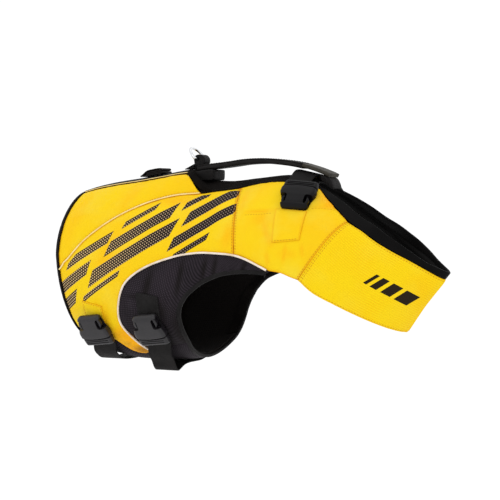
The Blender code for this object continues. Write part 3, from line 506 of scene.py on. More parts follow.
def normals(points, hint):
    """Unit normals of a grid of points, on the side that hint points to."""
    across = np.gradient(points, axis=1)
    down = np.gradient(points, axis=0)
    normal = unit(np.cross(down, across))
    return normal if (normal * hint).sum() > 0 else -normal


def run_along(points, axis):
    steps = np.linalg.norm(np.diff(points, axis=axis), axis=2)
    marks = np.cumsum(steps, axis=axis)
    start = np.zeros_like(np.take(marks, [0], axis=axis))
    return np.concatenate([start, marks], axis=axis)


def run_marks(path):
    """Distance along a path at each of its points."""
    steps = np.linalg.norm(np.diff(path, axis=0), axis=1)
    return np.concatenate([[0], np.cumsum(steps)])


def relaxed(path, loops):
    """The path with its inner points averaged with their neighbours."""
    for _ in range(loops):
        path[1:-1] = (path[:-2] + path[1:-1] * 2 + path[2:]) / 4
    return path


def seam_distance(points):
    """Distance of each grid point to the nearest of the grid's four edges."""
    rows = run_along(points, 0)
    columns = run_along(points, 1)
    ends = [rows, rows[-1:] - rows, columns, columns[:, -1:] - columns]
    return np.minimum.reduce(ends)


def swelling(gap, puff, reach, dip, dip_reach=1.5):
    """Height of padded cloth at a distance from its seams, pinched along them."""
    return puff * (1 - np.exp(-gap / reach)) - dip * np.exp(-gap / dip_reach)


def wander(points, size, seed=0.0):
    """Smooth noise at each point, from -1 to 1, about size long."""
    flat = points.reshape(-1, 3) / size + seed
    values = [noise.noise(Vector(p)) for p in flat]
    return np.array(values).reshape(points.shape[:-1])


def creases(points, rows):
    """Height of listed folds: rows of x, z at both ends, height, width."""
    x, z = points[..., 0], points[..., 2]
    total = np.zeros(x.shape)
    for x0, z0, x1, z1, height, width in rows:
        run = (x1 - x0, z1 - z0)
        length = run[0] ** 2 + run[1] ** 2
        t = ((x - x0) * run[0] + (z - z0) * run[1]) / length
        held = np.clip(t, 0, 1)
        gap = np.hypot(x - x0 - held * run[0], z - z0 - held * run[1])
        fade = np.clip(1.4 - np.abs(2 * held - 1) * 0.9, 0, 1)
        total += height * fade * np.exp(-(gap / width) ** 2)
    return total


def made_mesh(name, points, faces):
    """An object from points and faces, with its faces turned outward."""
    mesh = bpy.data.meshes.new(name)
    mesh.from_pydata(np.asarray(points, float).tolist(), [], faces)
    shape = bmesh.new()
    shape.from_mesh(mesh)
    bmesh.ops.recalc_face_normals(shape, faces=shape.faces)
    shape.to_mesh(mesh)
    shape.free()
    made = bpy.data.objects.new(name, mesh)
    bpy.context.scene.collection.objects.link(made)
    return made


def mesh_piece(name, points, faces, look, body="jacket", sharp=50):
    """A piece from points in millimetres, riding on a body."""
    made = made_mesh(name, np.asarray(points, float) * MM, faces)
    made.data.shade_smooth()
    made.data.set_sharp_from_angle(angle=math.radians(sharp))
    made.data.materials.append(look.material)
    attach(made, body)
    return made


def write_attribute(made, name, values):
    values = np.asarray(values, np.float32)
    kind, key = ("FLOAT", "value") if values.ndim == 1 else ("FLOAT_VECTOR", "vector")
    layer = made.data.attributes.new(name, kind, "POINT")
    layer.data.foreach_set(key, values.ravel())


def mark_cloth(made, cut):
    """Cloth coordinates of a piece that has no panel seams to take painted seam shade."""
    cut = np.reshape(cut, (-1, 3))
    write_attribute(made, "cut", cut)
    write_attribute(made, "seam", np.full(len(cut), 9.0))


def ring_faces(count, size, closed):
    """Faces of a skin over equal rings, with end caps unless it is closed."""
    faces = []
    for i in range(count if closed else count - 1):
        a, b = i * size, (i + 1) % count * size
        for k in range(size):
            m = (k + 1) % size
            faces.append((a + k, a + m, b + m, b + k))
    if not closed:
        last = (count - 1) * size
        faces += [tuple(range(size))[::-1], tuple(range(last, last + size))]
    return faces


def loft(rings):
    """Points and faces of a solid through equal rings, capped at both ends."""
    points = [p for ring in rings for p in ring]
    return points, ring_faces(len(rings), len(rings[0]), False)


def sheet_faces(rows, columns):
    """Faces of a closed sheet: two equal grids of points, joined round the rim."""
    half = rows * columns
    faces = []
    for r in range(rows - 1):
        for c in range(columns - 1):
            a = r * columns + c
            near = (a, a + 1, a + columns + 1, a + columns)
            faces += [near, tuple(half + k for k in near[::-1])]
    rim = list(range(columns))
    rim += [r * columns + columns - 1 for r in range(1, rows)]
    rim += [(rows - 1) * columns + c for c in range(columns - 2, -1, -1)]
    rim += [r * columns for r in range(rows - 2, 0, -1)]
    return faces + [(b, a, half + a, half + b) for a, b in zip(rim, rim[1:] + rim[:1])]


def cut_places(points):
    """Flat cloth coordinates of a grid: along its columns and its rows, in mm."""
    across, down = run_along(points, 1), run_along(points, 0)
    middle = across.shape[1] // 2
    return np.stack([across - across[:, middle:middle + 1], down, 0 * down], axis=-1)


def two_faced(name, outer, inner, look, node=None, sharp=50, **layers):
    """Closed sheet between two equal grids of points, with its cloth coordinates."""
    points = np.concatenate([outer.reshape(-1, 3), inner.reshape(-1, 3)])
    made = mesh_piece(name, points, sheet_faces(*outer.shape[:2]), look, sharp=sharp)
    layers = {"cut": cut_places(outer), "seam": np.minimum(seam_distance(outer), 60.0), **layers}
    for key, values in layers.items():
        flat = values.reshape(len(points) // 2, -1)
        flat = flat[:, 0] if flat.shape[1] == 1 else flat
        write_attribute(made, key, np.concatenate([flat, flat]))
    if node:
        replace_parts(made, node)
    return made


def trunk_surface(under):
    """Function that drops an (x, turn) place onto a made piece: point, normal."""
    tree = BVHTree.FromPolygons([v.co / MM for v in under.data.vertices],
                                [tuple(f.vertices) for f in under.data.polygons])

    def dropped(x, turn, side):
        high = trunk(x, turn, side, 14.0)
        fall = (trunk(x, turn, side, 0.0) - high).normalized()
        return tree.ray_cast(high, fall)[0], -fall
    return dropped


def cut_size(outer):
    """Size of a grid laid flat: width and length in metres, and its area."""
    width = run_along(outer, 1)[:, -1].max() * MM
    length = run_along(outer, 0)[-1].max() * MM
    a, b = outer[1:, :-1] - outer[:-1, :-1], outer[:-1, 1:] - outer[:-1, :-1]
    area = np.linalg.norm(np.cross(a, b), axis=2).sum() * MM * MM
    return (width, length), min(area, width * length)


def as_sheet(made, outer, rests_on=()):
    flat, area = cut_size(outer)


# ---------------------------------------------------------------- sewing

class Thread:
    """Stitches gathered from many seams into one mesh of a colour."""

    def __init__(self, name, look):
        self.name = name
        self.look = look
        self.points = []
        self.faces = []

    def row(self, path, outs, length=2.7, gap=1.5, radius=0.34, lift=0.05):
        """Stitches along a path of points; outs are the cloth's normals there."""
        path, outs = np.asarray(path, float), np.asarray(outs, float)
        marks = run_marks(path)
        for k in range(int(marks[-1] / (length + gap))):
            ends = [k * (length + gap), k * (length + gap) + length]
            start, end = [sampled(e, marks, path) for e in ends]
            self.stitch(start, end, sampled(ends[0], marks, outs), radius, lift)

    def hems(self, made, **reaches):
        """Rows inside the named edges of a made panel, at their reaches in mm."""
        for edge_name, reach in reaches.items():
            self.row(*hem_line(made[1], made[2], edge_name, reach))

    def stitch(self, start, end, out, radius, lift):
        ahead = unit(end - start)
        side = unit(np.cross(ahead, out))
        up = np.cross(side, ahead)
        first = len(self.points)
        self.points.append(start + up * (lift - radius))
        for share, size in ((0.12, 0.75), (0.5, 1.0), (0.88, 0.75)):
            middle = start + (end - start) * share + up * lift
            for a, b in ((1, 0), (0, 1), (-1, 0), (0, -1)):
                self.points.append(middle + (side * a + up * b) * radius * size)
        self.points.append(end + up * (lift - radius))
        for k in range(4):
            m = (k + 1) % 4
            self.faces.append((first, first + 1 + k, first + 1 + m))
            self.faces.append((first + 13, first + 9 + m, first + 9 + k))
            for ring in (1, 5):
                a, b = first + ring + k, first + ring + m
                self.faces.append((a, a + 4, b + 4, b))

    def finish(self):
        mesh_piece(self.name, self.points, self.faces, self.look, sharp=80)


def sampled(mark, marks, rows):
    """Row of numbers at a mark, between the rows that stand at the marks."""
    return np.array([np.interp(mark, marks, rows[:, i]) for i in range(rows.shape[1])])


def hem_line(outer, out, edge_name, reach):
    """Points and normals of the line at reach mm inside one edge of a grid."""
    turned = {"low": lambda g: g, "high": lambda g: g[::-1],
              "start": lambda g: g.swapaxes(0, 1), "end": lambda g: g[:, ::-1].swapaxes(0, 1)}
    points, ups = turned[edge_name](outer), turned[edge_name](out)
    marks = run_along(points, 0)
    columns = [c for c in range(points.shape[1]) if marks[-1, c] >= 2 * reach]
    return [np.array([sampled(reach, marks[:, c], rows[:, c]) for c in columns])
            for rows in (points, ups)]


# ---------------------------------------------------------------- swept pieces

def curve_through(places, step):
    """Points about step apart on a smooth curve through the places."""
    rows = [(k, *place) for k, place in enumerate(places)]
    result = []
    for k in range(len(places) - 1):
        cuts = max(int(math.dist(places[k], places[k + 1]) / step), 1)
        for i in range(cuts):
            result.append([glide(rows, k + i / cuts, c) for c in range(1, len(rows[0]))])
    return np.array(result + [[float(v) for v in places[-1]]])


def arc(x, y, radius, start, steps, turn=90):
    """Places round a centre, from a start angle through a turn, in degrees."""
    angles = [math.radians(start + turn * k / steps) for k in range(steps + 1)]
    return [(x + radius * math.cos(a), y + radius * math.sin(a)) for a in angles]


def box_outline(x0, x1, y0, y1, radius, steps):
    """Outline of a box with round corners."""
    left, right, low, high = x0 + radius, x1 - radius, y0 + radius, y1 - radius
    corners = ((right, high, 0), (left, high, 90), (left, low, 180), (right, low, 270))
    return [p for x, y, start in corners for p in arc(x, y, radius, start, steps)]


def rounded(width, thick, radius, steps=3, drop=0.0):
    """Outline of a strap, its corners rounded and its inner face drop below 0."""
    radius = min(radius, thick / 2 - 0.01)
    return [(a, o - drop) for a, o in
            box_outline(-width / 2, width / 2, 0, thick, radius, steps)]


def circle(radius, sides):
    return arc(0, 0, radius, 0, sides, 360)[:-1]


def sweep(name, path, outline, look, aims, node=None, loop=False, body="jacket", sharp=50):
    """Outline (across, out) carried along a path; aims are the out directions."""
    path = np.asarray(path, float)
    aims = np.broadcast_to(np.asarray(aims, float), path.shape)
    if loop:
        ahead = unit(np.roll(path, -1, axis=0) - np.roll(path, 1, axis=0))
    else:
        ahead = unit(np.gradient(path, axis=0))
    across = unit(np.cross(ahead, aims))
    out = np.cross(across, ahead)
    shape = np.array(outline, float)
    points = (path[:, None] + across[:, None] * shape[None, :, 0:1]
              + out[:, None] * shape[None, :, 1:2])
    count, size = points.shape[:2]
    made = mesh_piece(name, points.reshape(-1, 3), ring_faces(count, size, loop), look,
                      body, sharp)
    cut = np.zeros((count, size, 3))
    cut[..., 0] = run_marks(path)[:, None]
    cut[..., 1] = shape[None, :, 0]
    mark_cloth(made, cut)
    if node:
        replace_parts(made, node)
    return made, across, out


# ---------------------------------------------------------------- finishes

class Value:
    """A number of a material's nodes; arithmetic on it adds math nodes."""

    def __init__(self, look, socket):
        self.look = look
        self.socket = socket

    def math(self, operation, *others):
        return self.look.math(operation, self, *others)

    def __add__(self, other):
        return self.math("ADD", other)

    def __sub__(self, other):
        return self.math("SUBTRACT", other)

    def __mul__(self, other):
        return self.math("MULTIPLY", other)

    def __truediv__(self, other):
        return self.math("DIVIDE", other)

    def times(self, factor, plus):
        return self.math("MULTIPLY_ADD", factor, plus)

    def span(self, low, high, start=0.0, end=1.0):
        """Taken from low..high to start..end, clamped, with soft ends."""
        node = self.look.node("MapRange", self, low, high, start, end)
        node.interpolation_type = "SMOOTHSTEP"
        return Value(self.look, node.outputs[0])

    def wave(self, pitch):
        """0 to 1 to 0 over each pitch."""
        return (self * (2 * math.pi / pitch)).math("SINE").times(0.5, 0.5)


class Look:
    """A finish: its Principled material, a slot name that it keeps, and short node calls."""

    def __init__(self, name, slot, color, roughness, **settings):
        self.slot = slot
        self.material = bpy.data.materials.new(name)
        self.material.use_nodes = True
        self.tree = self.material.node_tree
        self.shader = self.tree.nodes["Principled BSDF"]
        self.set("Base Color", color)
        self.set("Roughness", roughness)
        for key, value in settings.items():
            self.set(key.replace("_", " "), value)

    def feed(self, socket, value):
        if isinstance(value, Value):
            value = value.socket
        if isinstance(value, bpy.types.NodeSocket):
            self.tree.links.new(value, socket)
        elif isinstance(value, tuple) and len(socket.default_value) == 4:
            socket.default_value = (*value, 1.0)
        else:
            socket.default_value = value

    def set(self, name, value):
        self.feed(self.shader.inputs[name], value)

    def node(self, kind, *values):
        """A new node with its first inputs fed in order."""
        node = self.tree.nodes.new("ShaderNode" + kind)
        for socket, value in zip(node.inputs, values):
            self.feed(socket, value)
        return node

    def math(self, operation, *values):
        node = self.node("Math", *values)
        node.operation = operation
        return Value(self, node.outputs[0])

    def attribute(self, name):
        """A number that the mesh carries."""
        node = self.node("Attribute")
        node.attribute_name = name
        return Value(self, node.outputs["Fac"])

    def places(self, name):
        """Place and three numbers of a vector that the mesh carries."""
        node = self.node("Attribute")
        node.attribute_name = name
        return self.split(node.outputs["Vector"])

    def split(self, vector):
        return [vector] + [Value(self, s) for s in self.node("SeparateXYZ", vector).outputs]

    def object_place(self):
        return self.node("TexCoord").outputs["Object"]

    def noise(self, scale, detail=3.0, place=None, stretch=(1, 1, 1)):
        mapping = self.node("Mapping", self.object_place() if place is None else place)
        mapping.inputs["Scale"].default_value = stretch
        node = self.node("TexNoise", mapping.outputs[0])
        node.inputs["Scale"].default_value = scale
        node.inputs["Detail"].default_value = detail
        return Value(self, node.outputs["Fac"])

    def mix(self, factor, a, b):
        node = self.node("Mix", factor)
        node.data_type = "RGBA"
        self.feed(node.inputs[6], a)
        self.feed(node.inputs[7], b)
        return node.outputs[2]

    def mottled(self, scale, detail, low, high, dark, light):
        """Colour that wanders between two, in clouds."""
        return self.mix(self.noise(scale, detail).span(low, high), dark, light)

    def bump(self, height, distance, strength=1.0, under=None):
        node = self.node("Bump", strength)
        node.inputs["Distance"].default_value = distance
        self.feed(node.inputs["Height"], height)
        if under is not None:
            self.feed(node.inputs["Normal"], under)
        return node.outputs[0]

    def grain(self, scale, distance, strength):
        """Fine bumps all over."""
        return self.bump(self.noise(scale, 2.0), distance, strength)


def largest(values):
    found = values[0]
    for value in values[1:]:
        found = found.math("MAXIMUM", value)
    return found


def plain_weave(across, down, pitch):
    """Height of a plain weave: threads that pass over and under in turn."""
    across, down = across * (math.pi / pitch), down * (math.pi / pitch)
    chosen = (across.math("SINE") * down.math("SINE")).times(0.5, 0.5)
    over, under = [v.math("COSINE").math("ABSOLUTE") for v in (across, down)]
    return over * chosen + under * chosen.look.math("SUBTRACT", 1.0, chosen)


def hex_dots(across, down, pitch, radius):
    """1 inside the dots of a staggered grid, 0 outside, with a soft rim."""
    rows = pitch * math.sqrt(3)
    dots = []
    for shift in (40.0, 40.5):
        x = ((across / pitch + shift).math("FRACT") - 0.5) * pitch
        y = ((down / rows + shift).math("FRACT") - 0.5) * rows
        dots.append(((x * x + y * y).math("SQRT") - radius).span(0.3, -0.3))
    return largest(dots)


YELLOW = (0.885, 0.605, 0.006)
DEEP_YELLOW = (0.895, 0.525, 0.005)
# the next colour and SHADE_BROWN are painted shade
SHADE_YELLOW = (0.90, 0.40, 0.004)
PALE_YELLOW = (0.85, 0.66, 0.045)
SHADE_BROWN = (0.30, 0.115, 0.008)
# painted shade along the seams
SEAM_SHADE_YELLOW = (0.74, 0.27, 0.003)
INSIDE_BLACK = (0.003, 0.0026, 0.0026)
PRINT_BLACK = (0.012, 0.008, 0.006)
PRINT_DOT = (0.72, 0.50, 0.24)
PRINT_DOT_FAR = (0.34, 0.25, 0.20)


def yellow_cloth(name, slot, pitch):
    """Woven yellow cloth: its look and colour, its place down the cut, its weave."""
    look = Look(name, slot, YELLOW, 0.62, Specular_IOR_Level=0.07)
    place, across, down, _ = look.places("cut")
    seam, warm = look.attribute("seam"), look.attribute("warm")
    color = look.mix(look.noise(11.0, 4.0).span(0.36, 0.68, 0.0, 0.75), YELLOW, DEEP_YELLOW)
    # painted shade: deeper yellow, then brown, where the shade layer rises
    color = look.mix(warm.span(0.0, 1.0), color, SHADE_YELLOW)
    color = look.mix(warm.span(1.0, 2.0), color, SHADE_BROWN)
    color = look.mix(look.noise(23.0).span(0.46, 0.72, 0.0, 0.42), color, PALE_YELLOW)
    # painted shade along the seams
    seam_shade = largest([seam.span(5.0, 0.3, 0.0, 0.38), seam.span(1.1, 0.5, 0.0, 0.9)])
    color = look.mix(seam_shade, color, SEAM_SHADE_YELLOW)
    threads = look.noise(700.0, 2.0, place, (1, 0.06, 1))
    color = look.mix(threads.span(0.45, 0.8, 0.0, 0.22), color, PALE_YELLOW)
    color = look.mix(warm.span(2.0, 3.4), color, INSIDE_BLACK)
    return look, color, down, plain_weave(across, down, pitch)


def woven_nylon(look, weave):
    """Noise of the slubs, and the bumps of the weave over them."""
    slub = look.noise(260.0, 2.0)
    return slub, look.bump(weave, 0.00016, 0.55, look.bump(slub, 0.0004, 0.35))


def nylon_finish():
    look, color, _, weave = yellow_cloth("yellow_nylon_cloth", "nylon", 0.75)
    slub, normal = woven_nylon(look, weave)
    look.set("Base Color", color)
    look.set("Roughness", slub.span(0.2, 0.8, 0.54, 0.70))
    look.set("Normal", normal)
    return look


# print on the flank: staggered slanted bars, as height over the slanted
# middle line, thickness, start and stop
FLANK_BARS = [
    (-30, 13, -126, -72), (-52, 15, -146, -86), (-74, 15, -136, -98), (-24, 8, -62, -24),
    (-44, 16, -68, 8), (-68, 18, -78, 24), (-85, 7, -84, -30), (-46, 9, 18, 46),
    (-66, 15, 34, 92), (-89, 14, 32, 106), (-107, 8, 44, 86)
]
BAR_SLOPE = math.radians(30)
BAR_CUT = 0.36          # lean of the cut ends
DOT_PITCH = 3.8
DOT_RADIUS = 1.02
DOT_RADIUS_FAR = 0.72


def printed_finish():
    """The side panel's cloth with a generic print: slanted halftone bars."""
    look, color, _, weave = yellow_cloth("yellow_nylon_printed", "nylon", 0.75)
    _, x, z, away = look.places("print")
    s, c = math.sin(BAR_SLOPE), math.cos(BAR_SLOPE)
    run, high = x.times(c, z * s), x.times(-s, z * c)
    place = z.times(-BAR_CUT, x)
    bars = []
    for middle, thick, start, stop in FLANK_BARS:
        one = (high - middle).math("ABSOLUTE").span(thick / 2, thick / 2 - 0.6)
        bars.append(one * place.span(start, start + 0.6) * place.span(stop, stop - 0.6))
    bar = largest(bars) * away.span(7.0, 7.6)
    dots = hex_dots(run, high, DOT_PITCH, x.span(-150.0, 90.0, DOT_RADIUS, DOT_RADIUS_FAR))
    pale = look.mix(x.span(-140.0, 60.0), PRINT_DOT, PRINT_DOT_FAR)
    look.set("Base Color", look.mix(bar, color, look.mix(dots, PRINT_BLACK, pale)))
    look.set("Normal", look.bump(bar, 0.00012, 0.5, woven_nylon(look, weave)[1]))
    look.set("Roughness", bar.times(-0.14, 0.62))
    return look


# print on the chest band: four slanted bars, start and stop along it
BAND_BARS = [(-9.0, 12.0), (18.0, 33.0), (39.0, 49.0), (54.0, 59.0)]
BAND_BAR_HEIGHT = 19.0
BAND_PRINT = (27.0, 36.0)   # start of the print: from the band's front, from its top


def band_finish():
    """Ribbed yellow cloth of the chest band, with four small slanted bars."""
    look, color, down, weave = yellow_cloth("yellow_band_cloth", "band", 0.9)
    color = look.mix(0.55, color, (0.88, 0.665, 0.004))
    sway = look.noise(0.03, 2.0, look.places("cut")[0], (1, 0.3, 1))
    ribs = sway.times(5.0, down).wave(3.2)
    uneven = look.noise(16.0).span(0.3, 0.65, 0.25, 1.0)
    shade = ribs.span(0.0, 0.8, 0.8, 0.0) * uneven
    color = look.mix(shade * 0.7, color, (0.86, 0.44, 0.004))
    _, along, away, _ = look.places("print")
    slid = away.times(-0.55, along)
    bars = [slid.math("GREATER_THAN", low) * slid.math("LESS_THAN", high)
            for low, high in BAND_BARS]
    inside = away.math("GREATER_THAN", 0.0) * away.math("LESS_THAN", BAND_BAR_HEIGHT)
    look.set("Base Color", look.mix(largest(bars) * inside, color, (0.020, 0.013, 0.006)))
    look.set("Normal", look.bump(ribs, 0.0004, 0.5, look.bump(weave, 0.00015, 0.4)))
    return look


def neoprene_finish():
    """Knit-faced neoprene: a fine dotted mesh over soft foam, darker inside, with painted shade."""
    dark, light = (0.0085, 0.0065, 0.0085), (0.0150, 0.0112, 0.0150)
    look = Look("black_neoprene_cloth", "neoprene", dark, 0.8,
                Sheen_Weight=0.02, Sheen_Roughness=0.5, Specular_IOR_Level=0.08)
    _, across, down, _ = look.places("cut")
    dots = hex_dots(across, down, 3.4, 0.85)
    color = look.mottled(24.0, 4.0, 0.3, 0.7, dark, light)
    color = look.mix(dots * 0.6, color, (0.062, 0.050, 0.062))
    # painted shade under the buckle, at the edges and in the fold valleys; the inner face darker
    # too
    deep = look.attribute("warm").span(0.0, 1.0)
    look.set("Base Color", look.mix(deep, color, (0.0056, 0.0043, 0.0036)))
    look.set("Normal", look.bump(dots, 0.0002, 0.6, look.grain(420.0, 0.0003, 0.3)))
    return look


def collar_finish():
    """Smooth black stretch cloth."""
    dark, light = (0.0012, 0.0010, 0.0010), (0.0030, 0.0025, 0.0026)
    look = Look("black_collar_cloth", "neoprene", (0.0016, 0.0013, 0.0013), 0.6,
                Specular_IOR_Level=0.07)
    look.set("Base Color", look.mottled(30.0, 4.0, 0.35, 0.7, dark, light))
    look.set("Normal", look.grain(500.0, 0.0002, 0.35))
    return look


def lining_finish():
    """Thin black woven cloth."""
    dark, light = (0.0042, 0.0034, 0.0031), (0.0082, 0.0068, 0.0060)
    look = Look("black_lining_cloth", "lining", (0.0035, 0.0030, 0.0030), 0.86,
                Specular_IOR_Level=0.04)
    _, across, down, _ = look.places("cut")
    look.set("Base Color", look.mottled(40.0, 3.0, 0.3, 0.7, dark, light))
    look.set("Normal", look.bump(plain_weave(across, down, 0.8), 0.00015, 0.5))
    return look


def webbing_finish():
    """Narrow webbing: ribs across it that step in columns, like its weave."""
    dark = (0.0046, 0.0040, 0.0040)
    light = tuple(c * 2.1 for c in dark)
    look = Look("black_webbing_weave", "webbing", dark, 0.66, Specular_IOR_Level=0.14)
    _, along, across, _ = look.places("cut")
    column = (across / 2.4).math("FLOOR")
    odd = (column * 0.5).math("FRACT") * 2.0
    ribs = odd.times(0.8, along).wave(1.6)
    base = look.mottled(60.0, 3.0, 0.3, 0.75, dark, light)
    look.set("Base Color", look.mix(ribs.span(0.5, 1.0, 0.0, 0.4), base, light))
    look.set("Normal", look.bump(across.wave(2.4).times(0.35, ribs), 0.0003, 0.6))
    return look


def plastic_finish(name="black_moulded_plastic", tone=1.0, gloss=0.42):
    middle, dark, light = [tuple(v * tone for v in color) for color in (
        (0.011, 0.0095, 0.0115), (0.0085, 0.0072, 0.0092), (0.0165, 0.0138, 0.0172))]
    look = Look(name, "plastic", middle, 0.36, Specular_IOR_Level=gloss)
    wear = look.noise(45.0, 4.0)
    look.set("Base Color", look.mix(wear.span(0.35, 0.75), dark, light))
    look.set("Roughness", wear.span(0.3, 0.8, 0.30, 0.48))
    look.set("Normal", look.grain(900.0, 0.00008, 0.35))
    return look


def piping_finish(name="pale_reflective_tape", clean=(0.86, 0.76, 0.66),
                  soiled=(0.72, 0.58, 0.42)):
    """Pale reflective tape: fine glass-bead grain, slightly soiled."""
    look = Look(name, "piping", clean, 0.42, Specular_IOR_Level=0.3)
    look.set("Base Color", look.mottled(55.0, 3.0, 0.35, 0.75, clean, soiled))
    look.set("Normal", look.grain(1400.0, 0.0001, 0.5))
    return look


def grip_finish():
    """Olive-grey rubbery cover with cross ribs."""
    dark, light = (0.018, 0.016, 0.0115), (0.050, 0.044, 0.033)
    look = Look("olive_grip_cover", "grip", (0.026, 0.023, 0.017), 0.62,
                Specular_IOR_Level=0.2)
    look.set("Base Color", look.mottled(70.0, 4.0, 0.3, 0.75, dark, light))
    look.set("Normal", look.bump(look.places("cut")[1].wave(3.2), 0.0005, 0.5))
    return look


def metal_finish():
    look = Look("plated_steel", "metal", (0.74, 0.75, 0.77), 0.13, Metallic=1.0)
    look.set("Roughness", look.noise(160.0, 4.0).span(0.3, 0.8, 0.08, 0.24))
    look.set("Normal", look.grain(700.0, 0.00005, 0.25))
    return look


def thread_finish(name, slot, color):
    look = Look(name, slot, color, 0.5, Specular_IOR_Level=0.2)
    _, x, y, _ = look.split(look.object_place())
    look.set("Normal", look.bump((x + y).wave(0.0007), 0.0001, 0.5))
    return look


# ---------------------------------------------------------------- cloth pieces

def tag_of(side):
    return "right" if side == RIGHT else "left"


def ripple(runs, size, seed):
    """Smooth noise along the distances in runs, about size long."""
    values = [noise.noise(Vector((r / size, seed, 0.37))) for r in runs.ravel()]
    return np.array(values).reshape(runs.shape)


def puckers(points, seed, reach=7.0, size=5.5):
    """Small folds that run in from the seams, as the thread draws the cloth."""
    rows, columns = run_along(points, 0), run_along(points, 1)
    rise = np.zeros(rows.shape)
    for gap, runs, shift in ((rows, columns, 0.0), (rows[-1:] - rows, columns, 3.1),
                             (columns, rows, 6.3), (columns[:, -1:] - columns, rows, 9.7)):
        rise += ripple(runs, size, seed + shift) * np.exp(-gap / reach)
    return rise


def warmth(points, spots):
    """Share of painted shade round the given x, z spots: place, size, share."""
    total = np.zeros(points.shape[:2])
    for x, z, wide, tall, share in spots:
        far = ((points[..., 0] - x) / wide) ** 2 + ((points[..., 2] - z) / tall) ** 2
        total = np.maximum(total, share * np.exp(-far))
    return total


# painted shade on the yellow cloth where it turns under: deeper yellow, brown above 1
SHADE_SPOTS = [
    (-74, -256, 30, 12, 1.75), (-92, -247, 18, 9, 1.5), (-122, -232, 10, 8, 1.3),
    (214, -38, 15, 13, 1.0), (225, -49, 14, 8, 0.9), (246, -88, 16, 18, 0.35),
    (-88, -236, 34, 16, 0.9), (-112, -214, 8, 26, 0.5), (-60, -250, 20, 14, 0.8),
    (96, -44, 9, 22, 0.5), (84, -92, 10, 26, 0.5), (40, -60, 30, 14, 0.35),
    (136, -70, 22, 12, 0.5), (152, -96, 10, 8, 0.45), (-12, -46, 40, 10, 0.5),
    (-190, -200, 12, 40, 0.3), (336, -160, 20, 22, 0.55), (352, -196, 30, 34, 0.5),
    (316, -214, 22, 12, 0.35), (178, -116, 20, 9, 0.4), (208, -120, 10, 26, 0.3),
    (-196, -120, 12, 40, 0.25),
]


# painted shade on the black side panels: under the buckle and at the edges
NEOPRENE_SHADE_SPOTS = [
    (-30, -236, 30, 34, 0.8), (-64, -228, 16, 20, 0.4), (10, -228, 16, 40, 0.75),
    (-8, -196, 10, 22, 0.5), (-58, -178, 24, 5, 0.6), (-76, -196, 8, 30, 0.35),
]


def fold_shade(points, folds, share):
    """Painted shade along the valleys among the folds."""
    total = np.zeros(points.shape[:2])
    for fold in folds:
        if fold[4] < 0:
            valley = creases(points, [fold[:4] + (0.75, fold[5] * 1.6)])
            total = np.maximum(total, valley * min(-fold[4], 1.0) * share)
    return np.clip(total, 0, 1)


def darken_inside(piece):
    """The inner half of a two-faced cloth takes its lining's black."""
    values = piece.data.attributes["warm"].data
    for k in range(len(values) // 2, len(values)):
        values[k].value = 4.0


def soft_panel(name, node, places, side, thick, puff, look, seed, folds=(), rise=0.0,
               ruck=0.8, dip=0.9, spots=(), fold_shade_share=0.75, **layers):
    """Panel over the trunk: swollen, drawn in at its seams, with its folds."""
    base, out = skin(places, side)
    gap = seam_distance(base)
    high = rise + swelling(gap, puff, 11, dip)
    high += ruck * puckers(base, seed) + creases(base, folds)
    high += 0.5 * wander(base, 34, seed) * (1 - np.exp(-gap / 12))
    high += 0.16 * wander(base, 9, seed + 5)
    outer = base + out * high[..., None]
    inner = base - out * (thick - 0.3)
    # painted shade: round the given spots and along the fold valleys
    warm = np.maximum(warmth(base, spots), fold_shade(base, folds, fold_shade_share))
    piece = two_faced(name, outer, inner, look, node, warm=warm, **layers)
    darken_inside(piece)
    return piece, outer, normals(outer, out)


def panel_print(places, side):
    """Where the print lies: x, z and the distance from the piping seam."""
    rows = PIPING + flank_line(SADDLE_LINE)[1:5]
    line = on_trunk([edge(rows, 200)], side, SINK)[0]
    points = on_trunk(places, side, SINK)
    far = np.linalg.norm(points[:, :, None] - line[None, None], axis=3)
    return np.stack([points[..., 0], points[..., 2], far.min(axis=2)], axis=-1)


# folds of the flank panels, the same on both sides but for their shift:
# x, z at both ends, height, width
SIDE_FOLDS = [
    (-115, -233.6, -88, -234, -1.1, 2.4), (-128, -186, -121, -211, -0.9, 2.6),
    (60, -44, 66, -108, 0.6, 10), (20, -46, 8, -112, -0.6, 12), (-30, -52, -52, -122, 0.6, 12),
    (-92, -80, -120, -150, -0.7, 13), (-150, -120, -140, -190, 0.6, 14),
    (-190, -146, -178, -214, -0.5, 9), (-104, -170, -104, -224, 0.8, 7),
]
SHOULDER_FOLDS = [
    (133.6, -66, 153.4, -105, -1.5, 3.6), (175, -103.5, 172, -128, -1.0, 2.6),
    (187, -107.4, 182.6, -128, 0.9, 2.8), (197.5, -102, 200.5, -122, -0.9, 2.6),
    (104, -61, 152, -58.4, -1.2, 1.9), (200, -53, 248, -54, -1.0, 1.9),
    (214, -72, 236, -92, 0.8, 5), (118, -80, 112, -112, 0.7, 7),
    (148, -112, 150, -134, -0.8, 3.0), (140, -84, 128, -112, 0.8, 6),
]
NEOPRENE_FOLDS = [
    (38.6, -124, 35.4, -164, 1.5, 3.2), (70.2, -120, 66, -150, -1.2, 2.8),
    (97, -121, 89, -146, 1.3, 3.0), (-1.4, -132, -6, -186, 1.4, 4.0),
    (54, -122, 49, -154, -1.2, 2.8), (18, -126, 13, -178, -1.3, 3.4),
    (-30, -142, -46, -200, -1.2, 4.6), (-62, -166, -58, -230, 1.1, 5.0),
    (118, -126, 110, -143, -1.0, 2.6), (82, -121, 78, -146, 0.9, 2.6),
    (28, -124, 24, -170, 1.0, 2.8), (-56, -176.5, -20, -178, -1.2, 2.0),
    (-14, -180, -12, -214, -1.0, 3.0),
]


def shifted(folds, amount):
    """The folds moved along the flank, for the side that the photo doesn't show."""
    return [(x0 + amount, z0, x1 - amount * 0.6, z1, high, wide)
            for x0, z0, x1, z1, high, wide in folds]


def rounded_end(gone, reach):
    """Share of a foam's full height at a distance from the end it rounds down to."""
    return math.sqrt(1 - (1 - min(gone / reach, 1.0)) ** 2)


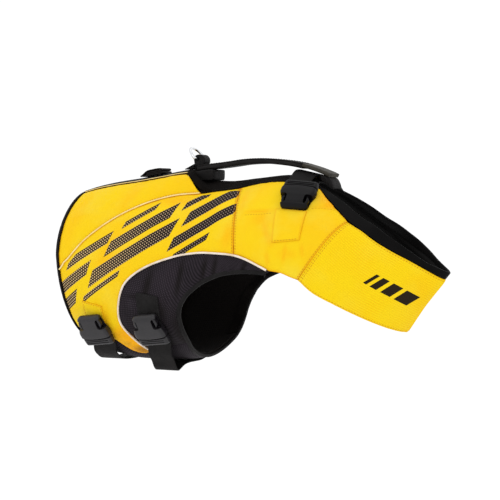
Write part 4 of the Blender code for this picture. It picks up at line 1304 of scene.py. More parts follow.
def make_flank(side, looks):
    """Cloth of one flank's four panels, with the side and shoulder linings."""
    tag = tag_of(side)
    shift = 0.0 if side == RIGHT else 7.0
    seed = 1.7 if side == RIGHT else 31.2
    places = {"side": side_places(), "shoulder": shoulder_places()}
    made = {}
    for name, look, folds, more, layers in (
            ("side", "printed", SIDE_FOLDS, 0, {"print": panel_print(places["side"], side)}),
            ("shoulder", "nylon", SHOULDER_FOLDS, 2, {})):
        made[name] = soft_panel(
            "%s_cloth_%s" % (name, tag), "%s_panel_%s" % (name, tag), places[name], side, FOAM,
            PUFF, looks[look], seed + more, shifted(folds, shift), spots=SHADE_SPOTS, **layers)
    made["neoprene"] = soft_panel(
        "neoprene_cloth_" + tag, "neoprene_panel_" + tag, neoprene_places(), side,
        NEOPRENE_WALL, 0.7, looks["neoprene"], seed + 4, shifted(NEOPRENE_FOLDS, shift),
        ruck=0.7, dip=0.4, spots=NEOPRENE_SHADE_SPOTS, fold_shade_share=0.95)
    as_sheet(made["neoprene"][0], made["neoprene"][1],
             rests_on=["side_panel_" + tag, "belly_pad"])
    made["back"] = make_back(side, looks["nylon"], seed + 6)
    for name, rows in places.items():
        rows = [row[::2] for row in rows[::2]]
        thin_lining("lining_cloth_%s_%s" % (name, tag), "lining_%s_%s" % (name, tag), rows,
                    side, looks["lining"])
    return made


def back_rise(x, t=0.0):
    """Height of the back foam at station x, t from the spine to the piping."""
    return glide(BACK_RISE, x, 1) * (1 - t ** 1.6)


BACK_FOLDS = [
    (-40, -20, -58, -44, 0.5, 6), (-86, -24, -110, -60, -0.6, 8),
    (-130, -30, -150, -84, 0.5, 8), (-172, -38, -184, -110, -0.5, 8),
]


def make_back(side, look, seed):
    places = back_places()
    last = len(places[0]) - 1
    rise = [[back_rise(x, t) * rounded_end((1 - c / last) * 200, ROUND_FRONT)
             * rounded_end(c / last * 200, ROUND_REAR) for c, (x, _) in enumerate(row)]
            for t, row in zip(even(len(places) - 1), places)]
    tag = tag_of(side)
    return soft_panel("back_cloth_" + tag, "back_panel_" + tag, places, side, FOAM, 1.6,
                      look, seed, BACK_FOLDS, np.array(rise), ruck=0.6, spots=SHADE_SPOTS)


def thin_lining(name, node, rows, sides, look):
    top, out = skin(rows, sides, SINK - FOAM - 0.3)
    outer = top - out * (0.35 * (0.5 + 0.5 * wander(top, 22, 4.0)))[..., None]
    as_sheet(two_faced(name, outer, outer - out * 0.8, look, node), outer)


def make_back_lining(look):
    rows = [row[::2] for row in back_places()[::2]]
    sides = [RIGHT] * (len(rows) + 1) + [LEFT] * len(rows)
    middle = [(x, 0.0) for x, _ in rows[0]]
    thin_lining("lining_cloth_back", "lining_back", rows[::-1] + [middle] + rows, sides, look)


def both_sides(count):
    """Shares from the right edge over the middle to the left edge, and their sides."""
    shares = np.linspace(-1, 1, count)
    return shares, [RIGHT if share < 0 else LEFT for share in shares]


# channels sewn across the belly pad, as stations
BELLY_CHANNELS = (-128, -62)


def make_belly(look):
    line = BELLY_SIDE + NEOPRENE_LOW
    middle = [REAR + (BELLY_FRONT - REAR) * k for k in even(len(line) - 1)]
    shares, sides = both_sides(73)
    places = [[(x_middle + (x_edge - x_middle) * share * share,
                180 - (180 - turn_edge - SEAM * 2 / PER_DEGREE) * abs(share))
               for (x_edge, turn_edge), x_middle in zip(line, middle)] for share in shares]
    base, out = skin(places, sides)
    high = swelling(seam_distance(base), 2.4, 10, 0.8)
    high += 0.5 * puckers(base, 51.0) + 0.5 * wander(base, 30, 8.0)
    for x in BELLY_CHANNELS:
        high -= 1.6 * np.exp(-((base[..., 0] - x) / 3.0) ** 2)
    outer = base + out * high[..., None]
    piece = two_faced("belly_cloth", outer, base - out * BELLY_WALL, look, "belly_pad",
                      warm=np.zeros(high.shape))
    darken_inside(piece)


# ---------------------------------------------------------------- chest band

def band_grid(high, steps_along, steps_down):
    """Points of the band's face, moved out by high, and its normals."""
    shares = [(2 * t - 1) * (1 - SEAM / 170) for t in even(steps_along)]
    heights = [0.004 + 0.992 * t for t in even(steps_down)]
    ups = np.array([[band_out(s, v) for s in shares] for v in heights])
    base = np.array([[band(s, v) for s in shares] for v in heights]) + ups * high
    return base, normals(base, ups)


BAND_FOLDS = [
    (214, -100, 236, -150, 0.7, 6), (262, -110, 262, -176, -0.6, 8),
    (300, -130, 292, -190, 0.6, 9), (330, -146, 318, -200, -0.5, 7),
]


def make_band(looks):
    base, out = band_grid(0.0, 150, 44)
    along, down = run_along(base, 1), run_along(base, 0)
    ends = np.minimum(along, along[:, -1:] - along)
    high = swelling(seam_distance(base), 1.1, 9, 0.6)
    high += 0.45 * puckers(base, 71.0) + 0.35 * wander(base, 26, 14.0)
    high += creases(base, BAND_FOLDS) * (1 - np.exp(-ends / 12))
    outer = base + out * high[..., None]
    middle = along.shape[1] // 2
    print_place = np.abs(along - along[:, middle:middle + 1]) - BAND_PRINT[0]
    layer = np.stack([print_place, down - BAND_PRINT[1], 0 * down], axis=-1)
    # painted shade on the band from the same spots
    piece = two_faced("chest_band_cloth", outer, base - out * (BAND_WALL - 0.2),
                      looks["band"], "chest_band", warm=warmth(base, SHADE_SPOTS), print=layer)
    darken_inside(piece)
    low, inward = band_grid(-BAND_WALL - 0.3, 75, 22)
    as_sheet(two_faced("lining_cloth_chest", low, low - inward * 0.9, looks["lining"],
                       "lining_chest"), low)
    return piece, outer, normals(outer, out)


# ---------------------------------------------------------------- edges

def loop_rings(name, node, rings, look):
    """Closed loop of equal outlines, as a sheet of a width in mm."""
    rings = np.array(rings)
    count, size = rings.shape[:2]
    piece = mesh_piece(name, rings.reshape(-1, 3), ring_faces(count, size, True), look)
    marks = run_marks(rings[:, 0])
    cut = np.zeros((count, size, 3))
    cut[..., 0] = marks[:, None]
    cut[..., 1] = run_marks(rings[0])[None]
    mark_cloth(piece, cut)
    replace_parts(piece, node)


def neck_ring():
    """Right half of the neck edge from the back to the front: point, out."""
    result = []
    for x, y in [(180.0, 0), (180.3, 4), (180.9, 8), (181.5, 12)]:
        result.append((trunk(x, turn_at_width(x, y), RIGHT, SINK), Vector((0, 0, 1))))
    for place in NECK:
        result.append((trunk(*place, RIGHT, SINK), trunk_out(*place, RIGHT)))
    for k in range(3, 41):
        s = -1 + k / 40
        result.append((band(s, 0.0), band_out(s, 0.0)))
    return result


def eased(values, loops):
    """Values round a closed loop, each averaged with its neighbours."""
    values = np.array(values, float)
    for _ in range(loops):
        values = (np.roll(values, 1, axis=0) + values * 2 + np.roll(values, -1, axis=0)) / 4
    return values


# outline of the collar, with its inner edge turned over the foam: height and
# place outward; the rows below are heights from the neck edge, the rest from
# the collar's top
COLLAR_OUTLINE = [(0.6, -0.3), (0.9, 0.1), (-1.6, -0.25), (-0.6, -0.5), (-0.1, -1.2), (0, -2.3),
                  (-0.1, -3.2), (-0.7, -3.8), (-1.8, -4.2), (3.0, -4.6), (1.4, -7.6), (-0.6, -8.8),
                  (-5.0, -9.9), (-5.2, -9.0), (0.3, -7.2), (0.6, -3.0)]
COLLAR_FIXED = (0, 1, 9, 10, 11, 12, 13, 14, 15)
# outlines of the rear binding (x, out of the section) and of the leg binding
# (away from the opening's edge, out)
REAR_BINDING = [
    (-199.6, 0.6), (-201.5, 0.75), (-203.2, 0.3), (-204.2, -0.9), (-204.7, -2.6),
    (-204.7, -7.0), (-204.1, -8.6), (-202.8, -9.5), (-201.0, -9.9), (-199.6, -9.9),
]
LEG_BINDING = [
    (1.6, 0.0), (1.6, 1.3), (0.9, 2.1), (-1.2, 2.25), (-3.6, 2.1), (-4.0, 1.6),
    (-4.0, -1.6), (-3.6, -2.1), (-1.2, -2.2), (0.9, -2.1), (1.6, -1.3),
]


def make_collar(look):
    right = neck_ring()
    half = right + [[Vector((v.x, -v.y, v.z)) for v in pair] for pair in right[-2:0:-1]]
    points = eased([p for p, _ in half], 4)
    outs = unit(eased([o for _, o in half], 10))
    ahead = unit(eased(np.roll(points, -1, axis=0) - np.roll(points, 1, axis=0), 12))
    rings = []
    for point, out_hint, along in zip(points, outs, ahead):
        beyond = unit(np.cross(along, out_hint))
        beyond = -beyond if beyond @ np.array((0.6, 0, 1)) < 0 else beyond
        out = np.cross(beyond, along)
        out = out if out @ out_hint > 0 else -out
        rise = glide(COLLAR_RISE, point[0], 1) + 0.3 * noise.noise(Vector(point) / 16)
        rings.append([point + beyond * (up if k in COLLAR_FIXED else rise + up) + out * away
                      for k, (up, away) in enumerate(COLLAR_OUTLINE)])
    loop_rings("collar_cloth", "collar", rings, look)


def make_rear_binding(look, thread):
    rings, line, outs = [], [], []
    for k in range(200):
        angle = 360 * k / 200
        side = LEFT if angle <= 180 else RIGHT
        turn = angle if angle <= 180 else 360 - angle
        ruck = Vector((0.25 * noise.noise(Vector((angle / 3.0, 2.0, 0))), 0, 0))
        rings.append([trunk(x, turn, side, out) + ruck for x, out in REAR_BINDING])
        line.append(trunk(-200.9, turn, side, 0.72))
        outs.append(trunk(-200.9, turn, side, 1.7) - line[-1])
    loop_rings("rear_binding_tape", "rear_binding", rings, look)
    thread.row(line, outs, 2.4, 1.3, 0.3)


def trunk_path(places, side, out):
    path = [trunk(x, turn, side, out) for x, turn in places]
    aims = [trunk(x, turn, side, out + 1) - p for (x, turn), p in zip(places, path)]
    return np.array(path), np.array(aims)


def make_pipings(side, look, cream):
    tag = tag_of(side)
    path, aims = trunk_path(drawn_in(arch_run(), 3), side, SINK + 1.9)
    sweep("arch_piping_tape_" + tag, relaxed(path, 10), circle(1.5, 10), look, aims,
          "arch_piping_" + tag)
    line = [(x, turn + 0.8) for x, turn in edge(PIPING, 120)]
    path, aims = trunk_path(drawn_in(line, 1.5), side, SINK + 1.9)
    sweep("back_piping_tape_" + tag, path, circle(1.1, 10), cream, aims, "back_piping_" + tag)


def make_leg_binding(look):
    """Tape round both leg openings and the belly's front edge, in one length."""
    reach = 180 - NEOPRENE_LOW[-1][1]
    shares = [0.96 - 0.06 * k for k in range(16)]
    half = drawn_in(LEG, 4) + [(belly_front(t), 180 - reach * t) for t in shares]
    line = [(x, turn, RIGHT) for x, turn in half + [(belly_front(0), 180)]]
    line += [(x, turn, LEFT) for x, turn in half[::-1]]
    path = np.array([trunk(*place, SINK - 1.5) for place in line])
    aims = np.array([trunk_out(*place) for place in line])
    ahead = unit(np.gradient(path, axis=0))
    beyond = unit(np.cross(aims, ahead))
    for i, place in enumerate(path):
        forward = np.array((0.55, 0, -0.8) if place[0] > 15 else (1, 0, 0))
        beyond[i] *= -1 if beyond[i] @ forward < 0 else 1
    sign = 1 if np.cross(ahead[5], aims[5]) @ beyond[5] > 0 else -1
    sweep("leg_binding_tape", path + beyond * 2.0, [(a * sign, o) for a, o in LEG_BINDING],
          look, aims, "leg_binding")


def make_leg_trim(side, look):
    """Folded tape inside the leg opening."""
    places = neoprene_places()
    columns = list(zip(places[0], places[-1]))[4 * FINE:-2]
    rows = [[between(low, high, min(reach / distance(low, high), 0.6))
             for high, low in columns] for reach in np.linspace(14.0, 0.0, 9)]
    outer, out = skin(rows, side, SINK - NEOPRENE_WALL - 0.8)
    tag = tag_of(side)
    as_sheet(two_faced("leg_trim_tape_" + tag, outer, outer - out * 1.2, look,
                       "leg_trim_" + tag), outer)


def spine_rise(x):
    """Height of the back foam beside the spine webbing."""
    return back_rise(x) * rounded_end(SPINE_ENDS - x, ROUND_FRONT)


# ---------------------------------------------------------------- spine, saddle

def make_spine(look):
    stations = np.append(np.linspace(REAR, -22, 130), np.linspace(-21, SPINE_ENDS, 14))
    rows = []
    for across in np.linspace(-SPINE_HALF, SPINE_HALF, 15):
        side = RIGHT if across < 0 else LEFT
        edge_drop = 0.7 * max(abs(across) / SPINE_HALF - 0.92, 0) / 0.08
        rows.append([trunk(x, turn_at_width(x, abs(across)), side,
                           SINK + spine_rise(x) + STRIP_HIGH - edge_drop) for x in stations])
    outer = np.array(rows)
    out = normals(outer, np.array((0, 0, 1)))
    piece = two_faced("spine_webbing", outer, outer - out * 2.6, look, "spine_strip")
    as_sheet(piece, outer)
    return piece, outer, out


def make_spine_edging(side, look):
    """Thin pale edging where the spine webbing meets the yellow cloth."""
    path = [trunk(x, turn_at_width(x, 15.9), side, SINK + spine_rise(x) + 1.5)
            for x in np.linspace(-196, -17.5, 120)]
    sweep("spine_edging_" + tag_of(side), path, circle(0.6, 8), look, (0, 0, 1))


def make_wrap(look):
    """Rear end of the saddle cloth, turned up round the handle's anchor."""
    shares, sides = both_sides(49)
    flat = 0.34                 # share of the width that lies on the spine
    places, high = [], []
    for q in np.abs(shares):
        t = max(q - flat, 0) / (1 - flat)
        start = -17.6 + 29.5 * t + 5.0 * max(t - 0.7, 0) / 0.3
        row, heights = [], []
        for gone in np.linspace(0, 31, 31):
            x = start + gone * (1 - 0.25 * t)
            low = turn_at_height(x, glide(PIPING_LINE + SADDLE_LINE[1:], x, 1) + 1.5)
            turn = turn_at_width(x, BACK_EDGE * min(q / flat, 1))
            row.append((x, turn + (low - turn) * t))
            full = back_rise(min(x, 4), t) + 2.4
            fall = 0.5 + 0.5 * math.cos(math.pi * min(max(gone - 7, 0) / 22, 1))
            heights.append(1.6 + (full - 1.6) * fall)
        places.append(row)
        high.append(heights)
    base, out = skin(places, sides)
    high = np.array(high) + 0.5 * wander(base, 9, 41.0) + 0.8 * puckers(base, 43.0)
    high += swelling(seam_distance(base), 0, 1, 1.3, 1.6)
    outer = base + out * high[..., None]
    top = normals(outer, out)
    as_sheet(two_faced("saddle_wrap", outer, outer - top * 1.2, look, "saddle_patch"), outer)


def make_saddle(look):
    line = SADDLE_SIDE + SADDLE_SHOULDER[1:]
    line[0] = (line[0][0] + 0.6, line[0][1])
    knots = list(enumerate((-14.6, 8, 38, 70, 98, 126, 153, 178)))
    keys = [k / FINE if k <= 3 * FINE else 3 + (k - 3 * FINE) / (2 * FINE)
            for k in range(len(line))]
    shares, sides = both_sides(51)
    places = []
    for share in np.abs(shares):
        reach = max((share - 0.45) / 0.55, 0.0)
        middles = [glide(knots, key, 1) for key in keys]
        places.append([(middle + (x_edge - middle) * reach, share * (turn_edge - SEAM / PER_DEGREE))
                       for (x_edge, turn_edge), middle in zip(line, middles)])
    base, out = skin(places, sides, 0.1)
    gap = seam_distance(base)
    high = swelling(gap, 0, 1, 1.2, 2.2) + 0.35 * puckers(base, 91.0) * (1 - np.exp(-gap / 2))
    high += 0.25 * wander(base, 18, 21.0)
    outer = base + out * high[..., None]
    piece = two_faced("saddle_cloth", outer, base - out * 4.6, look, "saddle_patch")
    as_sheet(piece, outer)
    return piece, outer, normals(outer, out)


# ---------------------------------------------------------------- straps

def ribbon(name, node, path, look, width, slant=0.0, rests_on=()):
    """Strap of even width along X, whose inner face follows the path."""
    path = np.asarray(path, float)
    out = unit(np.cross((1, 0, 0), unit(np.gradient(path, axis=0))))
    half = width / 2
    rim = [0.0, 0.35, 0.9, 2.4]
    offsets = [i - half for i in rim] + list(np.linspace(5 - half, half - 5, 7))
    offsets += [half - i for i in rim[::-1]]
    outer, inner = [], []
    for a in offsets:
        nearness = max(0.9 - (half - abs(a)), 0) / 0.9
        pinch = WEBBING * 0.38 * (1 - math.sqrt(max(1 - nearness ** 2, 0)))
        low = path + np.array((a, 0, slant * a)) + out * pinch
        outer.append(low + out * (WEBBING - 2 * pinch))
        inner.append(low)
    outer = np.array(outer)
    as_sheet(two_faced(name, outer, np.array(inner), look, node), outer, rests_on=rests_on)


def patch(name, node, corners, side, under, look, bulge=0.5):
    """Piece sewn on over another: it follows its face; corners are (x, turn)."""
    dropped = trunk_surface(under)
    cells, thick, gap = even(26), 1.5, 0.3
    placed_rows = [[dropped(*between(between(corners[0], corners[1], a),
                                     between(corners[3], corners[2], a), t), side)
                    for t in cells] for a in cells]
    spots = np.array([[spot for spot, _ in row] for row in placed_rows])
    for _ in range(4):
        middle = (spots[:-2, 1:-1] + spots[2:, 1:-1] + spots[1:-1, :-2] + spots[1:-1, 2:]) / 4
        spots[1:-1, 1:-1] = middle
    out = normals(spots, np.array([[up for _, up in row] for row in placed_rows]))
    high = gap + thick + swelling(seam_distance(spots), bulge, 5, 0.55, 0.8)
    outer = spots + out * high[..., None]
    piece = two_faced(name, outer, spots + out * gap, look, node)
    # the seam layer is raised, so the edges of a small piece take less painted seam shade
    for value in piece.data.attributes["seam"].data:
        value.value += 0.75         # the edges of a small piece show less
    as_sheet(piece, outer)
    return piece, outer, normals(outer, out)


# ---------------------------------------------------------------- slabs

def rounded_loop(rows, cuts=2):
    """Closed outline with its corners cut round."""
    rows = np.asarray(rows, float)
    for _ in range(cuts):
        ahead = np.roll(rows, -1, axis=0)
        near, far = rows * 0.78 + ahead * 0.22, rows * 0.22 + ahead * 0.78
        rows = np.stack([near, far], axis=1).reshape(-1, 2)
    return rows


def slab(name, node, rows, half, look, soft=0.9):
    """Solid of constant width across Y with a rounded x, z outline."""
    loop = rounded_loop(rows)
    ahead = unit(np.roll(loop, -1, axis=0) - np.roll(loop, 1, axis=0))
    turning = (loop * np.roll(loop, -1, axis=0)[:, ::-1] * (1, -1)).sum()
    inward = np.stack([-ahead[:, 1], ahead[:, 0]], axis=1) * (1 if turning > 0 else -1)
    ends = [(half, soft), (half - 0.3, soft * 0.45), (half - soft, 0.0), (half / 2, 0.0)]
    layers = [(-y, amount) for y, amount in ends] + [(0, 0.0)] + ends[::-1]
    rings = [[(x, y, z) for x, z in loop + inward * amount] for y, amount in layers]
    points, faces = loft(rings)
    piece = mesh_piece(name, points, faces, look, sharp=60)
    cut = np.zeros((len(layers), len(loop), 3))
    cut[..., 0] = run_marks(loop)
    cut[..., 1] = np.array(layers)[:, :1]
    mark_cloth(piece, cut)
    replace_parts(piece, node)


# ---------------------------------------------------------------- buckles

BUCKLE_LENGTH = 49.0
# along the closed buckle from its upper end: place, half width, height, and
# how far the row bows toward the lower end in its middle
HOUSING = [
    (0.0, 15.5, 3.2, 0.0), (0.5, 17.2, 5.4, 0.0), (1.5, 18.6, 7.6, 0.0), (3.2, 19.4, 9.2, 0.0),
    (5.5, 19.9, 10.2, 0.1), (10.0, 20.4, 10.7, 0.4), (15.0, 21.2, 11.0, 0.8),
    (19.0, 22.6, 11.3, 1.2), (23.0, 24.3, 11.4, 1.6), (27.0, 25.0, 11.3, 2.0),
    (31.2, 24.9, 11.0, 2.4), (33.0, 24.6, 10.8, 2.5), (33.8, 24.2, 9.9, 2.5),
    (34.3, 23.2, 7.4, 2.5), (35.0, 23.0, 7.2, 2.4), (35.5, 23.2, 7.4, 2.3),
    (35.9, 23.9, 8.7, 2.2), (36.6, 24.3, 9.3, 2.0), (39.5, 24.2, 9.2, 1.2),
    (43.0, 23.9, 9.0, 0.6), (46.4, 23.4, 8.5, 0.2), (47.9, 22.6, 7.3, 0.0),
    (48.7, 21.8, 5.6, 0.0), (49.0, 21.0, 4.2, 0.0),
]
WINDOW = (4.2, 19.5)        # side windows of the housing, along the buckle
# sprung prongs in the windows: place along, half width, lowest and highest
PRONG = [
    (3.4, 1.2, 3.0, 8.0), (5.2, 1.7, 2.6, 8.8), (8.0, 2.1, 2.4, 9.1), (11.5, 2.3, 2.3, 9.2),
    (15.0, 2.0, 2.4, 9.1), (18.0, 1.5, 2.7, 8.8), (20.2, 1.1, 3.2, 8.2),
]
GROOVES = (40.4, 43.6)      # ladder grooves of the base


def housing_rings(rows, corner=4.2, foot=1.2):
    """Cross sections of the buckle's housing, from rows like those of HOUSING."""
    rings = []
    for s, half, high, bow in rows:
        top = min(corner, high * 0.55)
        crown = 0.3 * min(high / 11, 1)
        outline = arc(foot - half, foot, foot, 180, 6)
        outline += [(x, 0.0) for x in np.linspace(3 - half, half - 3, 9)]
        outline += arc(half - foot, foot, foot, 270, 6)
        outline += arc(half - top, high - top, top, 0, 8)
        outline += [(x, high + crown * (1 - (x / half) ** 2))
                    for x in np.linspace(half - top - 1.5, top + 1.5 - half, 14)]
        outline += arc(top - half, high - top, top, 90, 8)
        rings.append([(x, s + bow * max(1 - (x / 25) ** 2, 0) * min(z / 6, 1), min(z, 11.5))
                      for x, z in outline])
    return rings


def denser(rows, cuts=3):
    """The rows with more between them: straight where close, else on a curve."""
    keyed = [(row[0], *row) for row in rows]
    result = []
    for row, later in zip(rows, rows[1:]):
        for t in even(cuts)[:-1]:
            if later[0] - row[0] < 1.3:
                result.append(between(row, later, t))
            else:
                s = row[0] + (later[0] - row[0]) * t
                result.append([glide(keyed, s, c) for c in range(1, 5)])
    return result + [rows[-1]]


def stadium(s0, s1, a0, a1, z0, z1, corner):
    """Rounded upright block over the buckle's plan, to cut a window with."""
    outline = box_outline(a0, a1, s0, s1, corner, 6)
    return loft([[(x, y, z) for x, y in outline] for z in (z0, z1)])


def prong_ring(side, s, half, low, high):
    """Cross section of a sprung prong, a soft-cornered oval."""
    centre = side * (15.0 + 2.4 * math.sin(math.pi * (s - 3.4) / 16.8))
    oval = [[math.copysign(abs(v) ** 0.6, v) for v in place] for place in circle(1.0, 16)]
    return [(centre + half * a, s, (low + high) / 2 + (high - low) / 2 * b) for a, b in oval]


def buckle_shape():
    """Closed side-release buckle: points and faces; across X, down Y, up Z."""
    body = made_mesh("buckle_work", *loft(housing_rings(denser(HOUSING))))
    cutters = [stadium(*WINDOW, near, far, 1.6, 13.0, 3.4)
               for near, far in ((-27.0, -12.4), (12.4, 27.0))]
    cutters += [stadium(s - 0.75, s + 0.75, -19.0, 19.0, 7.9, 13.0, 0.74) for s in GROOVES]
    for cutter in cutters:
        tool = made_mesh("buckle_cut", *cutter)
        cut = body.modifiers.new("cut", "BOOLEAN")
        cut.operation = "DIFFERENCE"
        cut.solver = "EXACT"
        cut.object = tool
        with bpy.context.temp_override(object=body, active_object=body):
            bpy.ops.object.modifier_apply(modifier=cut.name)
        bpy.data.objects.remove(tool, do_unlink=True)
    points = [tuple(v.co) for v in body.data.vertices]
    faces = [tuple(f.vertices) for f in body.data.polygons]
    bpy.data.objects.remove(body, do_unlink=True)
    for side in (RIGHT, LEFT):
        more, more_faces = loft([prong_ring(side, *row) for row in PRONG])
        faces += [tuple(len(points) + k for k in face) for face in more_faces]
        points += more
    return points, faces


def buckle_frame(x, turn, lean, side, node):
    """Middle of a buckle's underside and its directions, as its solid lies."""
    middle = trunk(x, turn, side)
    down = trunk(x, turn + 1, side) - trunk(x, turn - 1, side)
    along = Vector((1, 0, 0))
    if turn < 90:
        along = (trunk(x + 6, turn, side) - trunk(x - 6, turn, side)).normalized()
    down = (down.normalized() + along * lean).normalized()
    up = along.cross(down).normalized()
    up = up if up.dot(trunk(x, turn, side, 1.0) - middle) > 0 else -up
    solid = bpy.data.objects[node]
    corners = [(solid.matrix_world @ v.co) / MM for v in solid.data.vertices]
    lift = min((corner - middle).dot(up) for corner in corners)
    return middle + up * lift, down.cross(up).normalized(), down, up


def make_buckle(node, frame_at, turned, shape, look):
    middle, across, down, up = frame_at
    points, faces = shape
    down = -down if turned else down
    points = [middle + across * a + down * (s - BUCKLE_LENGTH / 2) + up * o
              for a, s, o in points]
    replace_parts(mesh_piece(node + "_moulding", points, faces, look, sharp=38), node)


def strap_end(frame_at):
    """Two places of a strap's inner face where it leaves a buckle's lower end."""
    middle, _, down, up = frame_at
    seat = middle - up * (WEBBING + 0.3)
    return [seat + down * (BUCKLE_LENGTH / 2 - 4), seat + down * (BUCKLE_LENGTH / 2 + 2)]


def make_belly_strap(end, rows, back, frames, look):
    right, left = [strap_end(frames[end, side]) for side in (RIGHT, LEFT)]
    middle = [Vector((right[0].x - back, y, z)) for y, z in rows]
    path = curve_through([tuple(p) for p in right + middle + left[::-1]], 2.2)
    ribbon("belly_strap_%s_webbing" % end, "belly_strap_" + end, path, look, WEBBING_WIDTH,
           rests_on=["belly_pad"])


def make_shoulder_strap(look):
    rows = SHOULDER_STRAP[::-1] + [(-y, z) for y, z in SHOULDER_STRAP[1:]]
    path = curve_through([(SHOULDER_STRAP_X, y, z) for y, z in rows], 1.6)
    ribbon("shoulder_strap_webbing", "shoulder_strap", path, look, SHOULDER_STRAP_WIDTH,
           SHOULDER_STRAP_SLANT, ["saddle_patch"])


# ---------------------------------------------------------------- handle, ring

def make_handle(looks, thread):
    path = curve_through([(x, 0, z) for x, z in HANDLE_TOP], 2.0)
    outline = rounded(HANDLE_WIDTH, HANDLE_THICK - 1.5, 2.6, 5, HANDLE_THICK)
    core, across, out = sweep("handle_pad", path, outline, looks["webbing"], (0, 0, 1),
                              "handle")
    width = HANDLE_WIDTH - 2.4
    top = sweep("handle_webbing", path, rounded(width, 1.6, 0.7, drop=1.6), looks["webbing"],
                (0, 0, 1), "handle")[0]
    cover = sweep("handle_grip_cover", curve_through([(x, 0, z) for x, z in TAB_TOP], 1.5),
                  rounded(32, 5.5, 2.3, 5, 5.5), looks["grip"], (0, 0, 1),
                  "handle_front_tab")[0]
    for reach in (-11.4, 11.4):
        thread.row(path + across * reach, out)


def make_ring_post(look):
    """Folded webbing round the ring's bar."""
    loop = rounded_loop(RING_POST)
    axis = np.array((RING_AXIS[0], RING_AXIS[2]))
    eye = RING_WIRE + RING_ROOM
    points, cut = [], []
    for place, run in zip(loop, run_marks(loop)):
        reach = place - axis
        far = np.linalg.norm(reach)
        for y, share in POST_PROFILE:
            x, z = axis + reach / far * (eye + (far - eye) * share)
            points.append((x, y, z))
            cut.append((run, y, 0.0))
    faces = ring_faces(len(loop), len(POST_PROFILE), True)
    piece = mesh_piece("ring_post_webbing", points, faces, look)
    mark_cloth(piece, cut)
    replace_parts(piece, "ring_post")


def make_leash_ring(look):
    """Bow of the D-ring, then its straight bar, which lies on the joint's axis."""
    lean = math.radians(RING_LEAN)
    half, deep = RING_BOW
    reach = np.array((-math.cos(lean), 0, math.sin(lean)))
    centre = np.array(RING_AXIS)
    bow = [(half * math.cos(a), deep * math.sin(a) ** 0.8)
           for a in (math.pi * k / 72 for k in range(73))]
    bar = [(y, 0.0) for y in np.linspace(-15, 15, 31)[1:-1]]
    path = eased([centre + np.array((0, y, 0)) + reach * high for y, high in bow + bar], 5)
    sweep("leash_ring_wire", path, circle(RING_WIRE, 18), look, np.cross(reach, (0, 1, 0)),
          "leash_ring", True, "leash_ring")


def make_keeper(look):
    """One length of webbing folded to and fro in a flat stack."""
    rows = []
    for x0, x1, high in KEEPER_FOLDS:
        for t in even(8):
            x = x0 + (x1 - x0) * t
            rows.append((x, high - max((-84 - x) / 12, 0) * (high - 0.95) * 0.3))
    rows += KEEPER_TOP
    seats = [trunk(x, 0.0, RIGHT, SINK + glide(BACK_RISE, x, 1) + STRIP_HIGH + 0.35)
             for x, _ in rows]
    path = curve_through([(p.x, 0.0, p.z + high) for p, (_, high) in zip(seats, rows)], 0.8)
    kept = [path[0]]
    for p in path[1:]:
        if np.linalg.norm(p - kept[-1]) > 0.25:
            kept.append(p)
    path = relaxed(np.array(kept), 3)
    aims = np.cross((0, 1.0, 0), unit(np.gradient(path, axis=0)))
    piece = sweep("keeper_webbing", path, rounded(27.6, 1.7, 0.6, drop=0.85), look, aims,
                  "spine_keeper", sharp=70)[0]


# ---------------------------------------------------------------- stage, camera

# profile of the studio floor, in metres: radius, height
BOWL = [
    (0.0, -0.40), (1.5, -0.40), (3.0, -0.40), (4.0, -0.36), (4.8, -0.2), (5.4, 0.15),
    (5.8, 0.8), (6.0, 1.8), (6.0, 4.5),
]


def make_stage():
    """Pale floor that rises in a wide bowl all round."""
    around = 96
    points = [(0.0, 0.0, BOWL[0][1])]
    points += [(x, y, z) for radius, z in BOWL[1:] for x, y in circle(radius, around)]
    faces = [(0, 1 + k, 1 + (k + 1) % around) for k in range(around)]
    faces += [tuple(1 + k for k in face)
              for face in ring_faces(len(BOWL) - 1, around, False)[:-2]]
    bowl = made_mesh("studio_bowl", points, faces)
    bowl.data.shade_smooth()
    paper = bpy.data.materials.new("white_paper")
    paper.use_nodes = True
    inputs = paper.node_tree.nodes["Principled BSDF"].inputs
    for name, value in (("Base Color", (0.12, 0.12, 0.12, 1)), ("Roughness", 1.0),
                        ("Specular IOR Level", 0.0), ("Emission Color", (1, 1, 1, 1)),
                        ("Emission Strength", 0.93)):
        inputs[name].default_value = value
    bowl.data.materials.append(paper)
    bowl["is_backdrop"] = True


def make_light(name, place, size, power):
    data = bpy.data.lights.new(name, "AREA")
    data.shape = "RECTANGLE"
    data.size, data.size_y = size
    data.energy = power
    lamp = bpy.data.objects.new(name, data)
    lamp.location = place
    aim = Vector((0.07, 0, -0.11)) - Vector(place)
    lamp.rotation_euler = aim.to_track_quat("-Z", "Y").to_euler()
    bpy.context.scene.collection.objects.link(lamp)


AZIMUTH = 28.0          # of the camera, from straight at the dog's right side
ELEVATION = 1.5
TARGET = Vector((0.0724, 0.0, -0.1136))
DISTANCE = 2.4
LENS = 121.7


def make_camera():
    a, e = math.radians(AZIMUTH), math.radians(ELEVATION)
    back = Vector((math.sin(a) * math.cos(e), -math.cos(a) * math.cos(e), math.sin(e)))
    right = Vector((math.cos(a), math.sin(a), 0))
    up = back.cross(right)
    data = bpy.data.cameras.new("camera")
    data.sensor_width = 36
    data.lens = LENS
    camera = bpy.data.objects.new("camera", data)
    turn = Matrix((right, up, back)).transposed().to_4x4()
    camera.matrix_world = Matrix.Translation(TARGET + back * DISTANCE) @ turn
    bpy.context.scene.collection.objects.link(camera)
    bpy.context.scene.camera = camera


